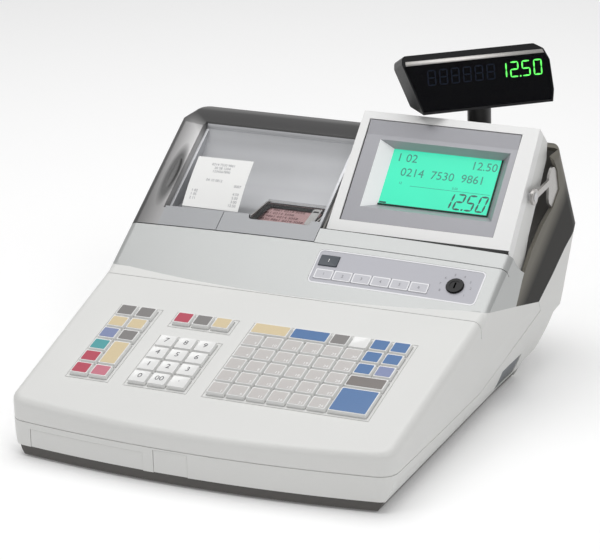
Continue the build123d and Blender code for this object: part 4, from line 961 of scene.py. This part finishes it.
# black bars of painted shadow along the right and lower edges of the glass
right_bar = rounded(box_of(SHADOW_BAR_W, lcd_size.y, SHADOW_BAR_T, SHADOW_BAR_T), 0.25)
low_bar = rounded(box_of(lcd_size.x, SHADOW_BAR_W, SHADOW_BAR_T, SHADOW_BAR_T), 0.25)
shadow_bars = [put(right_bar, FACE, LCD_HIGH[0] - SHADOW_BAR_W / 2, lcd_mid.y, LCD_Z),
          put(low_bar, FACE, lcd_mid.x, LCD_LOW[1] + SHADOW_BAR_W / 2, LCD_Z)]
piece("lcd_painted_shadow", shadow_bars, "deep_black", "operator_display")
brow = box_of(bezel_size.x - 2 * BROW_INSET, BROW_END - BROW_FOOT, BROW_RISE, BROW_RISE)
corners_moved(brow, lambda c: c.co.z > 0.5 * BROW_RISE * MM and c.co.y < 0, 0, 0, 0.05 - BROW_RISE)
brow_at = (bezel_mid.x, (BROW_FOOT + BROW_END) / 2, BEZEL_Z)
piece("bezel_brow", [put(brow, FACE, *brow_at)], "bezel", "operator_display")
thrown_away(joint, right_bar, low_bar, brow)
print("bezel", [round(size, 1) for size in bezel_size])

# %% [markdown]
# ## The painted highlight on the funnel wall
# The left wall of the funnel faces the light and shines nearly white. That shine is a painted highlight: a
# thin nearly white plate lies on the wall, a small block whose corners are moved onto the corners of the
# wall.

# %% Painted highlight on the left wall of the funnel
THROAT_X, THROAT_Y = 30.0, (29.0, 98.5)
WALL_T, WALL_UP = 0.1, 0.02
highlight_plate = box_of(1.0, 1.0, WALL_T)
for corner in highlight_plate.data.vertices:
    outer, high = corner.co.x < 0, corner.co.y > 0
    at_x = THROAT_X if outer else LCD_LOW[0]
    at_y = (THROAT_Y if outer else (LCD_LOW[1], LCD_HIGH[1]))[high]
    at_z = (BEZEL_Z if outer else LCD_Z) + WALL_UP + (WALL_T if corner.co.z > -WALL_T / 2 * MM else 0)
    corner.co = Vector((at_x + 0.1, at_y, at_z)) * MM
piece("funnel_wall_painted_highlight", [put(highlight_plate, FACE)], "funnel_painted_highlight", "operator_display")
thrown_away(highlight_plate)
print("wall from", THROAT_X, "to", LCD_LOW[0])

# %% [markdown]
# ## The shadow under the display's foot
# Where the display dips into its well, a black strip runs along the foot of its frame as painted shadow: it
# stands for the dark gap there. It is a long thin bar with soft edges, and it swings with the display.

# %% Painted shadow along the foot of the display
SHADOW_STRIP_LOW, SHADOW_STRIP_HIGH = (5.2, -1.5, -1.0), (182.8, 2.3, 0.3)
size, middle = between(SHADOW_STRIP_LOW, SHADOW_STRIP_HIGH)
# a black bar of painted shadow under the foot of the display frame
shadow_strip = rounded(box_of(*size), 0.3)
piece("foot_painted_shadow", [put(shadow_strip, FACE, middle.x, middle.y, SHADOW_STRIP_HIGH[2])], "deep_black", "operator_display")
thrown_away(shadow_strip)
print("shadow_strip", round(size.x, 1), "mm long")

# %% [markdown]
# ## The receipt
# The receipt is a sheet of thermal paper that stands in its slot and bows a little, because it comes off a
# roll. Its upper edge was torn on a serrated blade. The sheet is a grid of faces: the last row is teeth, and
# every corner is pushed off the plane by the bow. Its print is bent with it.

# %% Bow and tear the paper
LEVEL = sloping(0, 0, 0, 0)
PAPER_W = 57.5
PAPER_ROWS, TEETH = 14, 34
TOOTH, BOW, TWIST = 0.8, 1.6, 1.4
SHEET_T, SHEET_UP = 0.1, 0.15
paper_low, paper_high = solids_in("receipt_paper", LEVEL)[0]
size, middle = between(paper_low, paper_high)
paper_len, paper_rise = math.hypot(size.z, size.y), math.degrees(math.atan2(size.z, size.y))
SHEET = sloping(middle.x, paper_low.y, paper_low.z + SHEET_UP, paper_rise)


def bowed(model):
    """Bends a flat model like the paper, most half-way up the sheet and a little more on its right."""
    for corner in model.data.vertices:
        share = min(1.0, max(0.0, corner.co.y / MM / paper_len))
        side = corner.co.x / MM / PAPER_W
        corner.co.z += (math.sin(share * math.pi) * BOW + share * side * TWIST) * MM
    model.data.transform(SHEET)
    return model


def flat_sheet(length, across, along):
    """A grid of faces as wide as the paper, with its foot at zero."""
    made = added(bpy.ops.mesh.primitive_grid_add, x_subdivisions=across, y_subdivisions=along, size=1)
    made.data.transform(Matrix.Diagonal((PAPER_W * MM, length * MM, 1, 1)) @ Matrix.Translation((0, 0.5, 0)))
    return made


def thickened(made, thickness):
    """Gives a sheet its thickness, half of it to each side."""
    only(made)
    solid = made.modifiers.new("paper thickness", "SOLIDIFY")
    solid.thickness, solid.offset = thickness * MM, 0
    bpy.ops.object.modifier_apply(modifier=solid.name)
    return made


sheet = flat_sheet(paper_len, 2 * TEETH, PAPER_ROWS)
top_row = sorted((c for c in sheet.data.vertices if c.co.y > (paper_len - 0.1) * MM), key=lambda c: c.co.x)
for i, corner in enumerate(top_row):
    corner.co.y -= (i % 2) * TOOTH * MM
thickened(bowed(sheet), SHEET_T)
bpy.ops.object.shade_smooth_by_angle(angle=math.radians(30))
piece("receipt_sheet", [sheet], "paper", "printer_cover", "receipt_paper")
print("receipt", PAPER_W, "by", round(paper_len, 1), "mm")

# %% [markdown]
# ## The print on the receipt
# Each line of figures is laid out flat, a tenth of a millimetre over the sheet, and then bent by the same
# bow.

# %% Print the receipt
PRINT_SIZE = 3.7
LEFT, MIDDLE, RIGHT = -24.0, 0.0, 25.0
RECEIPT_ROWS = (("0214 7530 9861", "CENTER", MIDDLE, 45.5), ("30 58 1204", "CENTER", MIDDLE, 41.8),
                ("1234567890", "CENTER", MIDDLE, 38.1), ("04 10 0012", "CENTER", MIDDLE - 4, 28.5),
                ("0007", "RIGHT", RIGHT, 24.5), ("1 02", "LEFT", LEFT, 16.5), ("4.50", "RIGHT", RIGHT, 16.5),
                ("1 05", "LEFT", LEFT, 12.7), ("5.00", "RIGHT", RIGHT, 12.7), ("2 11", "LEFT", LEFT, 8.9),
                ("3.00", "RIGHT", RIGHT, 8.9), ("12.50", "RIGHT", RIGHT, 5.1))
rows = [bowed(figures(words, PRINT_SIZE, FLAT, x, y, SHEET_T, side)) for words, side, x, y in RECEIPT_ROWS]
piece("receipt_print", rows, "receipt_ink", "printer_cover")
print("receipt rows", len(rows))

# %% [markdown]
# ## The journal window
# The journal copy runs on under a tinted window in the cover. The window's edge is masked in black on its
# inside, and a bright lip stands round it where the recess floor meets it. Below it lie the pink paper with
# its rows of figures and a white guide that holds down the right edge of the paper.

# %% Mask and lip of the window
GLASS_T, GLASS_UP = 3.2, 0.9  # the height that its thickness adds, and its top over its middle
glass_size, glass_mid = between(*solids_in("journal_window", LEVEL)[0])
glass_tilt = math.degrees(math.atan2(glass_size.z - GLASS_T, glass_size.y))
glass_w, glass_d = glass_size.x, glass_size.y
GLASS = sloping(glass_mid.x, glass_mid.y, glass_mid.z + GLASS_UP, glass_tilt)
MASK = {"left": 6.0, "right": 1.5, "front": 2.0, "back": 11.0}
MASK_Z = -2.2
mask = opened(box_of(glass_w - 1.0, glass_d - 1.0, 0.3), MASK["right"])
limit = Vector((glass_w / 2 - 1.0, glass_d / 2 - 1.0)) * MM
for side, way in (("left", Vector((1, 0, 0))), ("front", Vector((0, 1, 0))), ("back", Vector((0, -1, 0)))):
    corners_moved(mask, lambda c: c.co.dot(way) < 0 and abs(c.co.x) < limit.x and abs(c.co.y) < limit.y,
                  *(way * (MASK[side] - MASK["right"])))
piece("window_mask", [put(mask, GLASS, 0, 0, MASK_Z)], "deep_black", "printer_cover")
LIP_W, LIP_T, LIP_Z, LIP_FROM = 1.5, 5.0, -1.2, 9.0
lip = frame_ring(glass_w + 2 * LIP_W + 0.8, glass_d + 2 * LIP_W, LIP_T, LIP_W, 5.0)
pick(lip, lambda face: True)
lip_end = (0, (LIP_FROM - glass_d / 2) * MM, 0)
bpy.ops.mesh.bisect(plane_co=lip_end, plane_no=(0, 1, 0), use_fill=True, clear_inner=True)
done()
rounded(lip, 0.4, segments=3)
piece("window_lip", [put(lip, GLASS, 0, LIP_W / 2, LIP_Z)], "silver_strip", "printer_cover")
thrown_away(mask, lip)
print("window", round(glass_w, 1), "by", round(glass_d, 1), "tilt", round(glass_tilt, 1))

# %% [markdown]
# ## The journal paper
# Only the stretch of paper behind the window is modelled, as a thin sheet on the slope that it runs along.
# Its guide is a rounded plate with a sunk middle, beside a narrow post.

# %% Journal sheet, its print and its guide
STRETCH, SHEET_LEFT, SHEET_FOOT, SHEET_SLOPE = 33.0, 1.5, (56.0, 139.5), 12.0
JOURNAL_ROWS, JOURNAL_PITCH, JOURNAL_SIZE, JOURNAL_T = 5, 5.6, 5.0, 0.12
JOURNAL_X, JOURNAL_Y = -26, 6
GUIDE_LEN, GUIDE_UP, GUIDE_TURN = 28.0, 16.5, 3
GUIDE_RIM, GUIDE_DEEP = 1.2, 0.5
JOURNAL = sloping(glass_mid.x - SHEET_LEFT, *SHEET_FOOT, SHEET_SLOPE)
strip = thickened(flat_sheet(STRETCH, 4, 10), JOURNAL_T)
piece("journal_sheet", [put(strip, JOURNAL)], "journal_paper", "casing")
thrown_away(strip)
rows = []
for i in range(JOURNAL_ROWS):
    words = "7530 9861 0214 3058"[3 * i % 7:]
    up = JOURNAL_Y + i * JOURNAL_PITCH
    rows.append(figures(words, JOURNAL_SIZE, JOURNAL, JOURNAL_X, up, JOURNAL_T, "LEFT"))
piece("journal_print", rows, "journal_ink", "casing")
guide = corners_rounded(box_of(7.0, GUIDE_LEN, 1.2), 2.0)
guide = rounded(pressed_in(guide, GUIDE_RIM, GUIDE_DEEP), 0.2)
post = rounded(box_of(1.4, GUIDE_LEN, 1.8), 0.3)
guide_x = PAPER_W / 2 - 5.5
pair = [put(guide, JOURNAL, guide_x, GUIDE_UP, 1.35, GUIDE_TURN),
        put(post, JOURNAL, guide_x + 4.4, GUIDE_UP, 1.7, GUIDE_TURN)]
piece("journal_guide", pair, "case_light", "casing")
thrown_away(guide, post)
print("journal rows", len(rows))

# %% [markdown]
# ## The customer display
# A glossy black head turns on the pole. A satin silver strip crosses its face above the window as a painted
# highlight: it stands for the shine along the top of the head. Behind the window ten green figures stand in
# a row, of which four are lit. The unlit ones show faintly as dark eights.

# %% Painted highlight strip and figures of the head
HEAD_FACE_Z = 14.0
HIGHLIGHT_LOW, HIGHLIGHT_HIGH, HIGHLIGHT_CUT = (-71.5, 14.9), (61.0, 19.0), (-1.5, -0.7)
FIGURE_HEIGHT, FIGURE_PITCH = 13.4, 11.3
FIGURES_RIGHT, FIGURES_UP, FIGURES_Z = 56.5, 2.2, HEAD_FACE_Z + 0.06
FIGURE_LEAN, FIGURE_WEIGHT = 4, 0.1
LIT_SUM, UNLIT_COUNT = "12.50", 6
lit_count = len(LIT_SUM.replace(".", ""))
size, middle = between(HIGHLIGHT_LOW, HIGHLIGHT_HIGH)
# a satin silver strip as painted highlight along the top of the head
strip = box_of(*size, 0.5, 0.4)
corners_moved(strip, lambda corner: corner.co.x > 0 and corner.co.y > 0, *HIGHLIGHT_CUT, 0)
rounded(strip, 0.15)
piece("head_painted_highlight", [put(strip, HEAD, *middle, HEAD_FACE_Z)], "silver_strip", "customer_display")
thrown_away(strip)
unlit_right = FIGURES_RIGHT - lit_count * FIGURE_PITCH
for name, words, right, finish in (("lit", LIT_SUM, FIGURES_RIGHT, "figure_lit"),
                                   ("unlit", "8" * UNLIT_COUNT, unlit_right, "figure_off")):
    made = seven_segments(words, FIGURE_HEIGHT, FIGURE_PITCH, HEAD, right, FIGURES_UP, FIGURES_Z,
                          FIGURE_LEAN, FIGURE_WEIGHT)
    piece(f"head_figures_{name}", made, finish, "customer_display")
print("figures", lit_count, "lit and", UNLIT_COUNT, "unlit")
